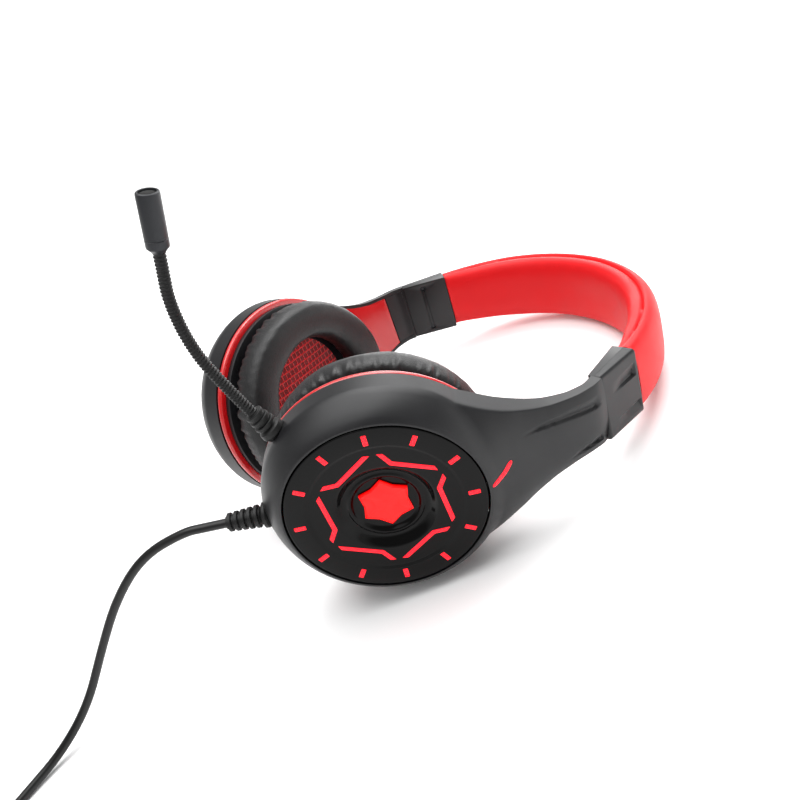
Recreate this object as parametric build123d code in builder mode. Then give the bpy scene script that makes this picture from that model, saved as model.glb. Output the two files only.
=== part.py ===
"""Over-ear gaming headset with a bendable microphone, lying on its back edges. Units: millimetres.

The worn headset is described by three directions: left (the wearer's left), front, and crown (up to the
top of the head). The stored pose lays those on the table: left is +X, crown runs along +Y and dips to
the table by LIE_ANGLE, and front points up. Each cup has its own frame: `out` is its outward normal,
`up` runs in its plane towards the arm, and height is measured out from the red ring's middle plane.
"""

import math
import os

from build123d import *

os.makedirs("parts", exist_ok=True)

# --- how the headset lies ---
LIE_ANGLE = 11.55          # the crown end of the worn axes dips this much to reach the table
ORIGIN_Y = -48.7           # cup centres, along the table from the middle of the length
ORIGIN_Z = 47.6            # cup centres, above the table

# --- cups ---
CUP_APART = 97.4           # between the two ring centres
CUP_LEAN = 26.0            # the cups converge below
CUP_TOE = 5.7              # and slightly at the back
RING_R, RING_IN_R, RING_HALF = 47.0, 43.0, 1.5
SHELL_R = 47.6
EDGE_R, EDGE_H = 47.2, 11.0
DOME_R, DOME_H = 43.6, 17.4
PLATE_R, PLATE_H, PLATE_THICK = 38.3, 22.2, 2.7
LEDGE = 2.0                # the ledge under the face plate's rim
WALL = 2.0
FLANGE_R, FLANGE_H = 44.6, -4.4
CUSHION_OUT_R, CUSHION_IN_R = 46.6, 26.5
CUSHION_TOP, CUSHION_BASE = -24.0, -5.0
DRIVER_R = 19.0
BAFFLE_SCREW_R = 38.0

# --- lit pattern ---
DASHES, DASH_R, DASH = 12, 33.4, (4.6, 2.0)
BENDS, BEND_R, BEND_KINK_R, BEND_WIDE = 6, 26.2, 21.6, 1.9
BEND_START, BEND_KINK, BEND_END = 173.0, 162.5, 122.0
STAR_R, STAR_IN_R, GEM_R = 10.8, 8.4, 11.5
GUIDE_TOP = PLATE_H - 0.1

# --- arm, in the cup's frame: half widths across, then inner and outer lines as (up, height) ---
ARM_FLARE = ((33.4, 33.6), (25.5, 46.6), (20.5, 56.4), (17.0, 66.0), (15.2, 76.0), (14.7, 84.0))
ARM_END_UP = 96.0          # drawn past the seam, where the slider's plane cuts it
ARM_AHEAD = 3.1            # the arm leans forward this far by its end, to meet the headband squarely
ARM_INNER = ((47.0, 1.6), (64.0, -0.2), (75.0, -2.3), (82.3, -5.3), (85.7, -8.7), (88.4, -11.6))
ARM_OUTER = (
    (92.6, -7.5), (89.9, -4.7), (86.2, -1.0), (80.0, 2.6), (70.0, 7.0), (60.0, 11.2), (50.0, 16.0),
    (41.0, 20.0),
)
ARM_ROOM = ((42, -6), (80, -16), (79.4, 0.8), (69.2, 5.0), (59.2, 9.2), (49.2, 13.8), (42, 16.4))
PANEL_LINE = ((44.0, 1.6), *ARM_INNER[:3], (77.0, -3.1))
COVER_LINE = ((77.1, -3.15), (79.4, -4.1))
PANEL_THICK = 1.8

# --- headband, in the worn side-to-side plane: (left, crown) ---
BAND_WIDE = 29.4
SEAM_MID = (81.15, 81.9)
CAP_MID = (72.9, 103.6)
CAP_THIN, CAP_THICK, CAP_LONG = 5.8, 10.0, 23.2
BAND_CENTRE = 77.0         # centre of the band's arc, up from the cup centres
BAND_OUT_R = 82.5
PAD_SECTIONS = ((20.2, 9.8, 29.2), (31, 12.8, 30.6), (48, 14.4, 32.6), (90, 14.4, 33.4))
STRIP_R, STRIP_WIDE, STRIP_THICK, STRIP_END = 79.6, 16.0, 0.8, 8.0
TONGUE_WIDE, TONGUE_THICK = 13.0, 1.4
TONGUE_IN_CAP, TONGUE_IN_ARM = 27.0, 5.5
SEAM_GAP = 0.12
SLOT_EASE = 0.2
CAP_SCREW_UP, CAP_SCREW_ACROSS = 10.5, 11.5

# --- microphone boom, in the left cup's plane: (ahead, up) at one height ---
BOOM_HEIGHT = 5.5
BOOM_R = 2.2
BOOM_START = (32.4, -32.6)
MIC_SPIGOT = 3.8
BOOM_HINGES = ((45.0, -38.9), (57.5, -44.0), (70.0, -48.3), (82.5, -50.4), (95.0, -50.4), (107.0, -48.2))
MIC_TIP = (131.3, -43.2)
MIC_R, MIC_NECK = 3.9, 6.0
HINGE_GAP = 0.4

# --- cable ---
CABLE_D = 3.8
BOOT_HEIGHT, BOOT_LONG, BOOT_R = 9.5, 16.0, 4.4
FIRST_RUN = 18.0           # straight out of the boot, before the route's points
ROUTE = (
    (13.2, -143.0, 63.5), (6.5, -162.9, 51.0), (2.0, -182.5, 33.0), (0.5, -202.3, 14.5),
    (1.5, -223.2, 4.0), (5.5, -245.7, 1.9), (12.0, -271.7, 1.9), (17.0, -298.7, 1.9),
)
COIL_CENTRE = (-5.5, -300.7, 0.85)    # its lowest point, just above the tie that runs under it
COIL_MID_R, COIL_WIDE, COIL_TALL = 22.5, 12.4, 15.6
TIE_THICK, TIE_LONG = 0.8, 8.0
TAIL = ((1.0, -324.2, 8.0), (-19.0, -327.7, 6.5), (-39.0, -325.7, 4.0), (-57.0, -319.7, 4.0))
USB_GRIP = (15.6, 8.0, 30.0)
USB_SHELL = (12.0, 4.5, 14.0)

SIDES = {"left": 1, "right": -1}
LIE, LEAN, TOE = (math.radians(angle) for angle in (LIE_ANGLE, CUP_LEAN, CUP_TOE))


def way(left, front, crown):
    """A direction given in the worn headset's terms, in the stored frame."""
    y = front * math.sin(LIE) + crown * math.cos(LIE)
    z = front * math.cos(LIE) - crown * math.sin(LIE)
    return Vector(left, y, z)


def spot(left, front, crown):
    """A place given in the worn headset's terms, in the stored frame."""
    return Vector(0, ORIGIN_Y, ORIGIN_Z) + way(left, front, crown)


def polar(radius, angle):
    return (radius * math.cos(math.radians(angle)), radius * math.sin(math.radians(angle)))


class Cup:
    """One cup's own axes and the planes that its pieces are drawn on."""

    def __init__(self, side):
        self.side = side
        self.out = way(
            side * math.cos(LEAN) * math.cos(TOE), -math.cos(LEAN) * math.sin(TOE), -math.sin(LEAN)
        )
        self.up = way(
            side * math.sin(LEAN) * math.cos(TOE), -math.sin(LEAN) * math.sin(TOE), math.cos(LEAN)
        )
        self.ahead = way(side * math.sin(TOE), math.cos(TOE), 0)
        self.centre = spot(side * CUP_APART / 2, 0, 0)
        self.axis = Axis(self.centre, self.out)

    def at(self, ahead, up, height):
        return self.centre + self.ahead * ahead + self.up * up + self.out * height

    def face(self, height=0.0):
        """A plane across the cup, y towards the arm, z outwards."""
        return Plane(self.at(0, 0, height), x_dir=self.up.cross(self.out), z_dir=self.out)

    def section(self):
        """The plane that holds the cup's axis: x is up or radius, y is height."""
        return Plane(self.centre, x_dir=self.up, z_dir=self.up.cross(self.out))


class Slider:
    """Where one arm slides in the headband's end cap: x through its thickness, z up into the cap."""

    def __init__(self, side):
        self.side = side
        rise = Vector(CAP_MID[0] - SEAM_MID[0], CAP_MID[1] - SEAM_MID[1]).normalized()
        self.upward = way(side * rise.X, 0, rise.Y)
        self.outward = way(side * rise.Y, 0, -rise.X)
        self.seam = spot(side * SEAM_MID[0], 0, SEAM_MID[1])

    def across(self, rise=0.0):
        """A plane across the slider, x outwards, normal up into the cap."""
        return Plane(self.seam + self.upward * rise, x_dir=self.outward, z_dir=self.upward)

    def section(self):
        """A side view of the cap: x outwards, y up."""
        return Plane(self.seam, x_dir=self.outward, z_dir=self.outward.cross(self.upward))

    def inward(self, rise, across, depth):
        """A plane facing the head, on the cap's middle layer plus depth."""
        place = self.seam + self.upward * rise + way(0, across, 0) - self.outward * depth
        return Plane(place, x_dir=self.upward, z_dir=self.outward * -1)


def outline(plane, points):
    """A face inside straight lines through the points."""
    with BuildSketch(plane) as sketch:
        with BuildLine():
            Polyline(*points, close=True)
        make_face()
    return sketch.sketch


def band_plane():
    """The worn side-to-side plane: x left, y crown."""
    return Plane(spot(0, 0, 0), x_dir=way(1, 0, 0), z_dir=way(0, 1, 0))


def arm_plan(cup, inset):
    """The arm's outline seen from outside, drawn in by inset."""
    foot, neck = ARM_FLARE[0][1], ARM_FLARE[-1][1]
    lean = [-cup.side * ARM_AHEAD * (y - foot) / (neck - foot) for x, y in ARM_FLARE]
    flare = [(x - inset + shift, y) for (x, y), shift in zip(ARM_FLARE, lean)]
    mirrored = [(inset - x + shift, y) for (x, y), shift in zip(ARM_FLARE, lean)][::-1]
    with BuildSketch(cup.face(-20)) as sketch:
        with BuildLine():
            Spline(*flare)
            Polyline(flare[-1], (flare[-1][0], ARM_END_UP), (mirrored[0][0], ARM_END_UP), mirrored[0])
            Spline(*mirrored)
            Line(mirrored[-1], flare[0])
        make_face()
    return sketch.sketch


def finish(part, name):
    part.label = name
    export_step(part, f"parts/{name}.step")


def make_tongue(slider):
    """Flat steel slider: fixed in the arm's end, running in the cap."""
    with BuildPart() as tongue:
        with BuildSketch(slider.across(-TONGUE_IN_ARM)):
            Rectangle(TONGUE_THICK, TONGUE_WIDE)
        extrude(amount=TONGUE_IN_ARM + TONGUE_IN_CAP)
    return tongue.part


def make_slash(cup):
    """A slim light cut through the shell beside the face plate."""
    turn = -cup.side
    with BuildPart() as slash:
        with BuildSketch(cup.face(10)):
            with BuildLine():
                ThreePointArc((turn * 0.2, 40.4), (turn * 2.3, 45.2), (turn * 6.2, 49.2))
                offset(amount=0.95)
            make_face()
        extrude(amount=14)
    return slash.part


def make_outer_shell(cup, slider, tongue, slash):
    """Cup shell and arm in one moulding, hollow and open on the ear side; and its slash lens."""
    seat_r, seat_h, ledge_r = PLATE_R + 0.2, PLATE_H - PLATE_THICK, PLATE_R - LEDGE
    wall = (
        (45.4, RING_HALF + 0.1), (SHELL_R, RING_HALF + 0.1), (EDGE_R, EDGE_H), (DOME_R, DOME_H),
        (seat_r + 1.1, PLATE_H), (seat_r, PLATE_H), (seat_r, seat_h), (ledge_r, seat_h), (ledge_r, 17.6),
        (40.6, 16.6), (44.8, 10.4),
    )
    room = (
        (0, -30), (45.4, -30), (45.4, RING_HALF), (44.8, 10.4), (40.6, 16.6), (ledge_r, 17.6),
        (ledge_r, seat_h), (seat_r, seat_h), (seat_r, 30), (0, 30),
    )
    arm_side = ((30, RING_HALF + 0.1), *ARM_INNER, *ARM_OUTER, (30, 18))
    with BuildPart() as hollow:
        extrude(arm_plan(cup, WALL), amount=50)
        extrude(outline(cup.section(), ARM_ROOM), amount=40, both=True, mode=Mode.INTERSECT)
    with BuildPart() as shell:
        extrude(arm_plan(cup, 0), amount=50)
        extrude(outline(cup.section(), arm_side), amount=40, both=True, mode=Mode.INTERSECT)
        with BuildSketch(slider.across()):
            Rectangle(60, 60)
        extrude(amount=30, mode=Mode.SUBTRACT)
        revolve(outline(cup.section(), wall), axis=cup.axis)
        revolve(outline(cup.section(), room), axis=cup.axis, mode=Mode.SUBTRACT)
        add(hollow.part, mode=Mode.SUBTRACT)
        with BuildSketch(cup.face(4)):
            with PolarLocations(BAFFLE_SCREW_R, 4, start_angle=45):
                Circle(2.8)
        extrude(amount=13.2)
        add(tongue, mode=Mode.SUBTRACT)
    with BuildPart() as lens:
        add(shell.part)
        add(slash, mode=Mode.INTERSECT)
    with BuildPart() as cut:
        add(shell.part)
        add(slash, mode=Mode.SUBTRACT)
    return cut.part, lens.part


def arm_lid(cup, line):
    """A lid that closes a length of the arm's open inner side, its face on the given line."""
    lifted = [(up, height + PANEL_THICK) for up, height in reversed(line)]
    with BuildPart() as lid:
        extrude(arm_plan(cup, WALL + 0.1), amount=50)
        extrude(outline(cup.section(), (*line, *lifted)), amount=40, both=True, mode=Mode.INTERSECT)
    return lid.part


def make_red_ring(cup):
    """Red trim: the ring round the cup and the panel that runs up the arm's inner face."""
    ring = (
        (RING_IN_R, -RING_HALF), (RING_R, -RING_HALF), (RING_R, RING_HALF), (45.2, RING_HALF), (45.2, 3.4),
        (RING_IN_R, 3.4),
    )
    with BuildPart() as trim:
        revolve(outline(cup.section(), ring), axis=cup.axis)
        add(arm_lid(cup, PANEL_LINE))
    return trim.part


def make_baffle_screws(cup):
    with BuildPart() as screws:
        with BuildSketch(cup.face(FLANGE_H)):
            with PolarLocations(BAFFLE_SCREW_R, 4, start_angle=45):
                Circle(2.2)
        extrude(amount=1.3)
        with BuildSketch(cup.face(FLANGE_H + 1.3)):
            with PolarLocations(BAFFLE_SCREW_R, 4, start_angle=45):
                Circle(1.1)
        extrude(amount=13)
    return screws.part


def make_baffle(cup, screws):
    """Black plate that closes the cup on the ear side and carries the speaker and the cushion."""
    profile = (
        (DRIVER_R, FLANGE_H), (FLANGE_R, FLANGE_H), (FLANGE_R, -1.6), (42.8, -1.6), (42.8, 3.4),
        (40.9, 3.4), (40.9, -1.6), (DRIVER_R, -1.6),
    )
    with BuildPart() as baffle:
        revolve(outline(cup.section(), profile), axis=cup.axis)
        add(screws, mode=Mode.SUBTRACT)
    return baffle.part


def turned(cup, profile):
    """A piece turned about the cup's axis from (radius, height) points."""
    with BuildPart() as piece:
        revolve(outline(cup.section(), profile), axis=cup.axis)
    return piece.part


def make_cushion(cup):
    wide = CUSHION_OUT_R - CUSHION_IN_R
    tall = CUSHION_BASE - CUSHION_TOP
    with BuildPart() as cushion:
        with BuildSketch(cup.section()) as profile:
            with Locations((CUSHION_IN_R + wide / 2, (CUSHION_TOP + CUSHION_BASE) / 2)):
                RectangleRounded(wide, tall, 7.5)
        revolve(profile.sketch, axis=cup.axis)
    return cushion.part


def make_star(cup):
    """Six-pointed lens over the cup's centre, on a round foot."""
    points = [polar(STAR_IN_R if i % 2 else STAR_R, 30 * i) for i in range(12)]
    with BuildPart() as gem:
        with BuildSketch(cup.face(14.6)):
            Circle(GEM_R)
        extrude(amount=1.2)
        extrude(outline(cup.face(15.8), points), amount=2.0)
    return gem.part


def make_light_guide(cup):
    """Clear red ring under the face plate whose raised bars show through it."""
    kinks = []
    for k in range(BENDS):
        turn = 60 * k
        kinks.append((
            polar(BEND_R, BEND_START - turn), polar(BEND_KINK_R, BEND_KINK - turn),
            polar(BEND_R, BEND_END - turn),
        ))
    with BuildPart() as guide:
        with BuildSketch(cup.face(17.9)):
            Circle(PLATE_R - LEDGE - 0.1)
            Circle(20.4, mode=Mode.SUBTRACT)
        extrude(amount=1.5)
        with BuildSketch(cup.face(19.0)):
            with PolarLocations(DASH_R, DASHES):
                Rectangle(*DASH)
            for bar in kinks:
                with BuildLine() as line:
                    Polyline(*bar)
                trace(line.line, line_width=BEND_WIDE)
        extrude(amount=GUIDE_TOP - 19.0)
    return guide.part


def make_face_plate(cup, guide):
    """Glossy black plate with a dished middle, pierced by the light guide's bars."""
    profile = (
        (PLATE_R, PLATE_H - PLATE_THICK + 0.05), (PLATE_R, PLATE_H), (20.0, PLATE_H), (16.6, 18.4),
        (GEM_R - 0.3, 17.4), (GEM_R - 0.3, 15.9), (16.0, 15.9), (20.3, 19.55),
    )
    with BuildPart() as plate:
        revolve(outline(cup.section(), profile), axis=cup.axis)
        add(guide, mode=Mode.SUBTRACT)
    return plate.part


def make_led_board(cup):
    """Round circuit board with a lamp under each dash."""
    with BuildPart() as board:
        with BuildSketch(cup.face(11.6)):
            Circle(32.0)
        extrude(amount=1.4)
        with BuildSketch(cup.face(13.0)):
            with PolarLocations(28.0, DASHES):
                Rectangle(3.2, 2.0)
        extrude(amount=1.2)
    return board.part


def speaker_pieces(cup):
    """The driver: frame, magnet, voice coil and diaphragm."""
    yield "speaker_frame", turned(cup, (
        (17.6, -1.5), (21.5, -1.5), (21.5, -0.1), (19.0, -0.1), (16.2, 5.4), (7.6, 5.4), (7.6, 4.2),
        (15.2, 4.2), (17.6, -0.5),
    ))
    yield "speaker_magnet", turned(cup, ((0, 1.2), (5.6, 1.2), (5.6, 5.5), (11, 5.5), (11, 9.8), (0, 9.8)))
    yield "voice_coil", turned(cup, ((6.0, -0.4), (6.6, -0.4), (6.6, 4.0), (6.0, 4.0)))
    yield "speaker_cone", turned(cup, (
        (0, 0.2), (6.6, -0.5), (12, -0.7), (17.4, -0.9), (17.4, -1.3), (12, -1.2), (6.6, -0.9), (0, -0.3),
    ))


def cup_pieces(name, side):
    """Every piece of one cup, its arm and its slider."""
    cup, slider = Cup(side), Slider(side)
    tongue = make_tongue(slider)
    shell, lens = make_outer_shell(cup, slider, tongue, make_slash(cup))
    screws = make_baffle_screws(cup)
    guide = make_light_guide(cup)
    with BuildPart() as drilled:
        add(shell)
        add(screws, mode=Mode.SUBTRACT)
        if name == "left":
            add(make_cable_boot(cup), mode=Mode.SUBTRACT)
            add(make_mic_boot(cup), mode=Mode.SUBTRACT)
    yield "outer_shell", drilled.part
    yield "slash_lens", lens
    yield "slider_tongue", tongue
    yield "red_ring", make_red_ring(cup)
    yield "arm_cover", arm_lid(cup, COVER_LINE)
    yield "speaker_baffle", make_baffle(cup, screws)
    yield "baffle_screws", screws
    yield "ear_cushion", make_cushion(cup)
    yield "speaker_cloth", turned(cup, ((0, -4.9), (27.5, -4.9), (27.5, -4.45), (0, -4.45)))
    yield from speaker_pieces(cup)
    yield "light_guide", guide
    yield "star_lens", make_star(cup)
    yield "face_plate", make_face_plate(cup, guide)
    yield "led_board", make_led_board(cup)


def make_cable_boot(cup):
    """Ribbed rubber strain relief out of the bottom of the cup, with its spigot through the wall."""
    base = Plane(cup.at(0, 3.5 - SHELL_R, BOOT_HEIGHT), x_dir=cup.out, z_dir=cup.up * -1)
    with BuildPart() as boot:
        with BuildSketch(base):
            Circle(3.0)
        extrude(amount=4)
        with BuildSketch(base.offset(3.6)):
            Circle(BOOT_R)
        extrude(amount=BOOT_LONG, taper=3)
    return boot.part


def boom_spots(cup):
    return [cup.at(ahead, up, BOOM_HEIGHT) for ahead, up in (*BOOM_HINGES, MIC_TIP)]


def along(start, end, cup, skip=0.0):
    """A plane on the line from start to end, skip along it, facing the end."""
    toward = (end - start).normalized()
    return Plane(start + toward * skip, x_dir=cup.out, z_dir=toward)


def make_mic_boot(cup):
    """Rubber socket at the root of the boom, with its spigot through the wall."""
    start, end = cup.at(*BOOM_START, BOOM_HEIGHT), boom_spots(cup)[0]
    reach = (end - start).length
    with BuildPart() as boot:
        with BuildSketch(along(start, end, cup)):
            Circle(3.0)
        extrude(amount=4)
        with BuildSketch(along(start, end, cup, MIC_SPIGOT)):
            Circle(4.4)
        extrude(amount=reach - MIC_SPIGOT - 1.0, taper=7)
        with BuildSketch(along(start, end, cup, reach - 1.5)):
            Circle(BOOM_R)
        extrude(amount=1.5)
        with Locations(end):
            Sphere(BOOM_R)
    return boot.part


def make_boom_link(cup, start, end):
    """One link of the gooseneck, from just past its hinge to a ball on the next."""
    skip = BOOM_R + HINGE_GAP
    with BuildPart() as link:
        with BuildSketch(along(start, end, cup, skip)):
            Circle(BOOM_R)
        extrude(amount=(end - start).length - skip)
        with Locations(end):
            Sphere(BOOM_R)
    return link.part


def make_mic(cup, start, end):
    """Microphone housing with its neck, and the capsule in its mouth."""
    reach = (end - start).length
    skip = BOOM_R + HINGE_GAP
    with BuildPart() as housing:
        with BuildSketch(along(start, end, cup, skip)):
            Circle(BOOM_R)
        extrude(amount=MIC_NECK - skip + 0.5)
        with BuildSketch(along(start, end, cup, MIC_NECK)):
            Circle(MIC_R)
        extrude(amount=reach - MIC_NECK)
        with BuildSketch(along(start, end, cup, reach - 5)):
            Circle(MIC_R - 0.8)
        extrude(amount=5, mode=Mode.SUBTRACT)
    with BuildPart() as capsule:
        with BuildSketch(along(start, end, cup, reach - 4.6)):
            Circle(MIC_R - 0.85)
        extrude(amount=3.4)
    return housing.part, capsule.part


def mic_pieces(cup):
    spots = boom_spots(cup)
    yield "mic_boot", make_mic_boot(cup)
    for i in range(len(BOOM_HINGES) - 1):
        yield f"boom_link_{i + 1}", make_boom_link(cup, spots[i], spots[i + 1])
    housing, capsule = make_mic(cup, spots[-2], spots[-1])
    yield "mic_housing", housing
    yield "mic_capsule", capsule


def strip_path(end):
    """The spring strip's line: the band's arc with a straight run of the given length into each cap."""
    foot = math.degrees(math.atan2(CAP_MID[1] - BAND_CENTRE, CAP_MID[0]))
    x, y = polar(STRIP_R, foot)
    dx, dy = polar(end, foot - 90)
    with BuildLine(band_plane()) as path:
        Line((x + dx, BAND_CENTRE + y + dy), (x, BAND_CENTRE + y))
        CenterArc((0, BAND_CENTRE), STRIP_R, foot, 180 - 2 * foot)
        Line((-x, BAND_CENTRE + y), (-x - dx, BAND_CENTRE + y + dy))
    return path.wire()


def make_strip(ease=0.0):
    """Spring-steel strip through the headband; ease makes the room for it."""
    path = strip_path(STRIP_END + ease)
    with BuildPart() as strip:
        start = Plane(path @ 0, x_dir=way(0, 1, 0), z_dir=path % 0)
        with BuildSketch(start) as profile:
            Rectangle(STRIP_WIDE + 2 * ease, STRIP_THICK + 2 * ease)
        sweep(profile.sketch, path=path)
    return strip.part


def make_tongue_room(slider):
    """The way that a slider's tongue needs in the cap and the end of the pad."""
    with BuildPart() as room:
        with BuildSketch(slider.across()):
            Rectangle(TONGUE_THICK + 2 * SLOT_EASE, TONGUE_WIDE + 2 * SLOT_EASE)
        extrude(amount=TONGUE_IN_CAP + 1)
    return room.part


def make_pad(strip_room, rooms):
    """Padded headband round the spring strip."""
    halves = [(angle, thick, wide) for angle, thick, wide in PAD_SECTIONS]
    halves += [(180 - angle, thick, wide) for angle, thick, wide in reversed(PAD_SECTIONS[:-1])]
    with BuildPart() as pad:
        for angle, thick, wide in halves:
            x, y = polar(BAND_OUT_R - thick / 2, angle)
            dx, dy = polar(1, angle)
            middle = spot(x, 0, BAND_CENTRE + y)
            with BuildSketch(Plane(middle, x_dir=way(dx, 0, dy), z_dir=way(-dy, 0, dx))):
                RectangleRounded(thick, wide, 4.0)
        loft()
        add(strip_room, mode=Mode.SUBTRACT)
        for room in rooms:
            add(room, mode=Mode.SUBTRACT)
    return pad.part


def make_cap_screws(slider):
    with BuildPart() as screws:
        for across in (-CAP_SCREW_ACROSS, CAP_SCREW_ACROSS):
            with BuildSketch(slider.inward(CAP_SCREW_UP, across, 1.6)):
                Circle(1.3)
            extrude(amount=1.4)
            with BuildSketch(slider.inward(CAP_SCREW_UP, across, -2.2)):
                Circle(0.7)
            extrude(amount=3.8)
    return screws.part


def make_cap_half(slider, outer, room, strip_room, screws):
    """One half of an end cap: the outer one has two long recesses, the inner one the screw wells."""
    turn = 1 if outer else -1
    thin, thick = turn * CAP_THIN / 2, turn * CAP_THICK / 2
    start = turn * 0.02
    profile = ((start, SEAM_GAP), (thin, SEAM_GAP), (thick, CAP_LONG), (start, CAP_LONG))
    with BuildPart() as half:
        extrude(outline(slider.section(), profile), amount=BAND_WIDE / 2, both=True)
        add(room, mode=Mode.SUBTRACT)
        add(strip_room, mode=Mode.SUBTRACT)
        add(screws, mode=Mode.SUBTRACT)
        if outer:
            rise = (slider.upward * CAP_LONG + slider.outward * ((CAP_THICK - CAP_THIN) / 2)).normalized()
            face = Plane(slider.seam + slider.outward * (CAP_THIN / 2), x_dir=rise,
                         z_dir=rise.cross(way(0, 1, 0)) * slider.side)
            for across in (-6.5, 6.5):
                with BuildSketch(face.offset(-0.9)):
                    with Locations((CAP_LONG / 2 + 1, across)):
                        Rectangle(CAP_LONG - 7, 5.0)
                extrude(amount=3, mode=Mode.SUBTRACT)
        else:
            for across in (-CAP_SCREW_ACROSS, CAP_SCREW_ACROSS):
                with BuildSketch(slider.inward(CAP_SCREW_UP, across, 3.0)):
                    Circle(1.3)
                extrude(amount=4, mode=Mode.SUBTRACT)
    return half.part


def band_pieces():
    strip_room = make_strip(0.15)
    sliders = {name: Slider(side) for name, side in SIDES.items()}
    rooms = {name: make_tongue_room(slider) for name, slider in sliders.items()}
    yield "headband_pad", make_pad(strip_room, rooms.values())
    yield "spring_strip", make_strip()
    for name, slider in sliders.items():
        screws = make_cap_screws(slider)
        yield f"{name}_cap_outer", make_cap_half(slider, True, rooms[name], strip_room, screws)
        yield f"{name}_cap_inner", make_cap_half(slider, False, rooms[name], strip_room, screws)
        yield f"{name}_cap_screws", screws


def make_tube(points, name):
    """A cord along straight runs joined by the largest tangent arcs that the runs allow."""
    spots = [Vector(*point) for point in points]
    runs = [b - a for a, b in zip(spots, spots[1:])]
    radii = []
    for first, second in zip(runs, runs[1:]):
        half_turn = math.radians(first.get_angle(second)) / 2
        radii.append(0.45 * min(first.length, second.length) / math.tan(half_turn))
    print(name, "arc radii", [round(radius) for radius in radii])
    with BuildLine() as path:
        FilletPolyline(*spots, radius=radii)
    line = path.wire()
    with BuildPart() as tube:
        with BuildSketch(Plane(line @ 0, z_dir=line % 0)) as profile:
            Circle(CABLE_D / 2)
        sweep(profile.sketch, path=line)
    print(name, "length", round(line.length, 1), "volume ratio",
          round(tube.part.volume / (math.pi * CABLE_D ** 2 / 4 * line.length), 4))
    return tube.part


def cord_pieces(cup):
    """The cable: boot, lead, stored coil with its tie, tail and plug."""
    mouth = 3.5 - SHELL_R - 3.6 - BOOT_LONG - 0.02
    start = [tuple(cup.at(0, mouth - run, BOOT_HEIGHT)) for run in (0, FIRST_RUN)]
    yield "cable_boot", make_cable_boot(cup)
    yield "cable_lead", make_tube([*start, *ROUTE], "cable_lead")
    with BuildPart() as coil:
        with BuildSketch(Plane(COIL_CENTRE, x_dir=(1, 0, 0), z_dir=(0, -1, 0))) as section:
            with Locations((COIL_MID_R, COIL_TALL / 2)):
                RectangleRounded(COIL_WIDE, COIL_TALL, 1.9)
        revolve(section.sketch, axis=Axis(COIL_CENTRE, (0, 0, 1)))
    yield "cable_coil", coil.part
    with BuildPart() as tie:
        middle = Vector(*COIL_CENTRE) + Vector(0.2 - COIL_MID_R, 0, COIL_TALL / 2)
        wide, tall = COIL_WIDE + 0.8, COIL_TALL + 0.1
        with BuildSketch(Plane(middle, x_dir=(1, 0, 0), z_dir=(0, 1, 0))):
            Rectangle(wide + 2 * TIE_THICK, tall + 2 * TIE_THICK)
            Rectangle(wide, tall, mode=Mode.SUBTRACT)
        extrude(amount=TIE_LONG / 2, both=True)
    yield "cable_tie", tie.part
    yield "cable_tail", make_tube(TAIL, "cable_tail")
    last, before = Vector(*TAIL[-1]), Vector(*TAIL[-2])
    heading = (last - before).normalized()
    mouth = Plane(last + heading * 0.02, x_dir=heading.cross(Vector(0, 0, 1)), z_dir=heading)
    with BuildPart() as grip:
        with BuildSketch(mouth):
            RectangleRounded(USB_GRIP[0], USB_GRIP[1], 1.6)
        extrude(amount=USB_GRIP[2])
    yield "usb_grip", grip.part
    with BuildPart() as shell:
        with BuildSketch(mouth.offset(USB_GRIP[2])):
            RectangleRounded(USB_SHELL[0], USB_SHELL[1], 0.6)
            RectangleRounded(USB_SHELL[0] - 0.7, USB_SHELL[1] - 0.7, 0.4, mode=Mode.SUBTRACT)
        extrude(amount=USB_SHELL[2])
        with BuildSketch(mouth.offset(USB_GRIP[2])):
            with Locations((0, -0.9)):
                Rectangle(USB_SHELL[0] - 0.7, 1.9)
        extrude(amount=USB_SHELL[2] - 1)
    yield "usb_shell", shell.part


left_cup = Cup(SIDES["left"])
for side_name, side_sign in SIDES.items():
    for piece_name, piece in cup_pieces(side_name, side_sign):
        finish(piece, f"{side_name}_{piece_name}")
for pieces in (band_pieces(), mic_pieces(left_cup), cord_pieces(left_cup)):
    for piece_name, piece in pieces:
        finish(piece, piece_name)
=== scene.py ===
"""Looks of an over-ear gaming headset lying on its back edges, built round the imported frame.

Sizes are in millimetres and are turned to metres where a mesh is made. Each ear cup has its own
directions: ahead (towards the wearer's face), up (towards the arm) and out (away from the head).
"""

import logging
import math
import random
from dataclasses import dataclass
from enum import Enum
from typing import Callable, Optional, Sequence

import bmesh
import bpy
import numpy as np
from mathutils import Matrix, Vector


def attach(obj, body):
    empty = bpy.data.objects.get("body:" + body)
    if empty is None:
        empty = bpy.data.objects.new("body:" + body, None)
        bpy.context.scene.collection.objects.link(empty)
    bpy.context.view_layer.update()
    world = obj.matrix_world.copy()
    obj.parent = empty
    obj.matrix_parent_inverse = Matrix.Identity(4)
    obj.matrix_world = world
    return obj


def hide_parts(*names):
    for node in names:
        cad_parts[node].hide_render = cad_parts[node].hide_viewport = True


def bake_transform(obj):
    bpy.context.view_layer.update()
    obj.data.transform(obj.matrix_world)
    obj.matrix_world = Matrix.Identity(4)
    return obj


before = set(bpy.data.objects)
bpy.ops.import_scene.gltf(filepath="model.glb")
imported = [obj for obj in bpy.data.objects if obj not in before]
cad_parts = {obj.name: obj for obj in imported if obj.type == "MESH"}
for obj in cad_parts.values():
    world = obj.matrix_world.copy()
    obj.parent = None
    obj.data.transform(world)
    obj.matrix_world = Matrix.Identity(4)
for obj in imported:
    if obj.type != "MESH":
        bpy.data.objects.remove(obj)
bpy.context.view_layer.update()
LOG = logging.getLogger("headset")

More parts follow.
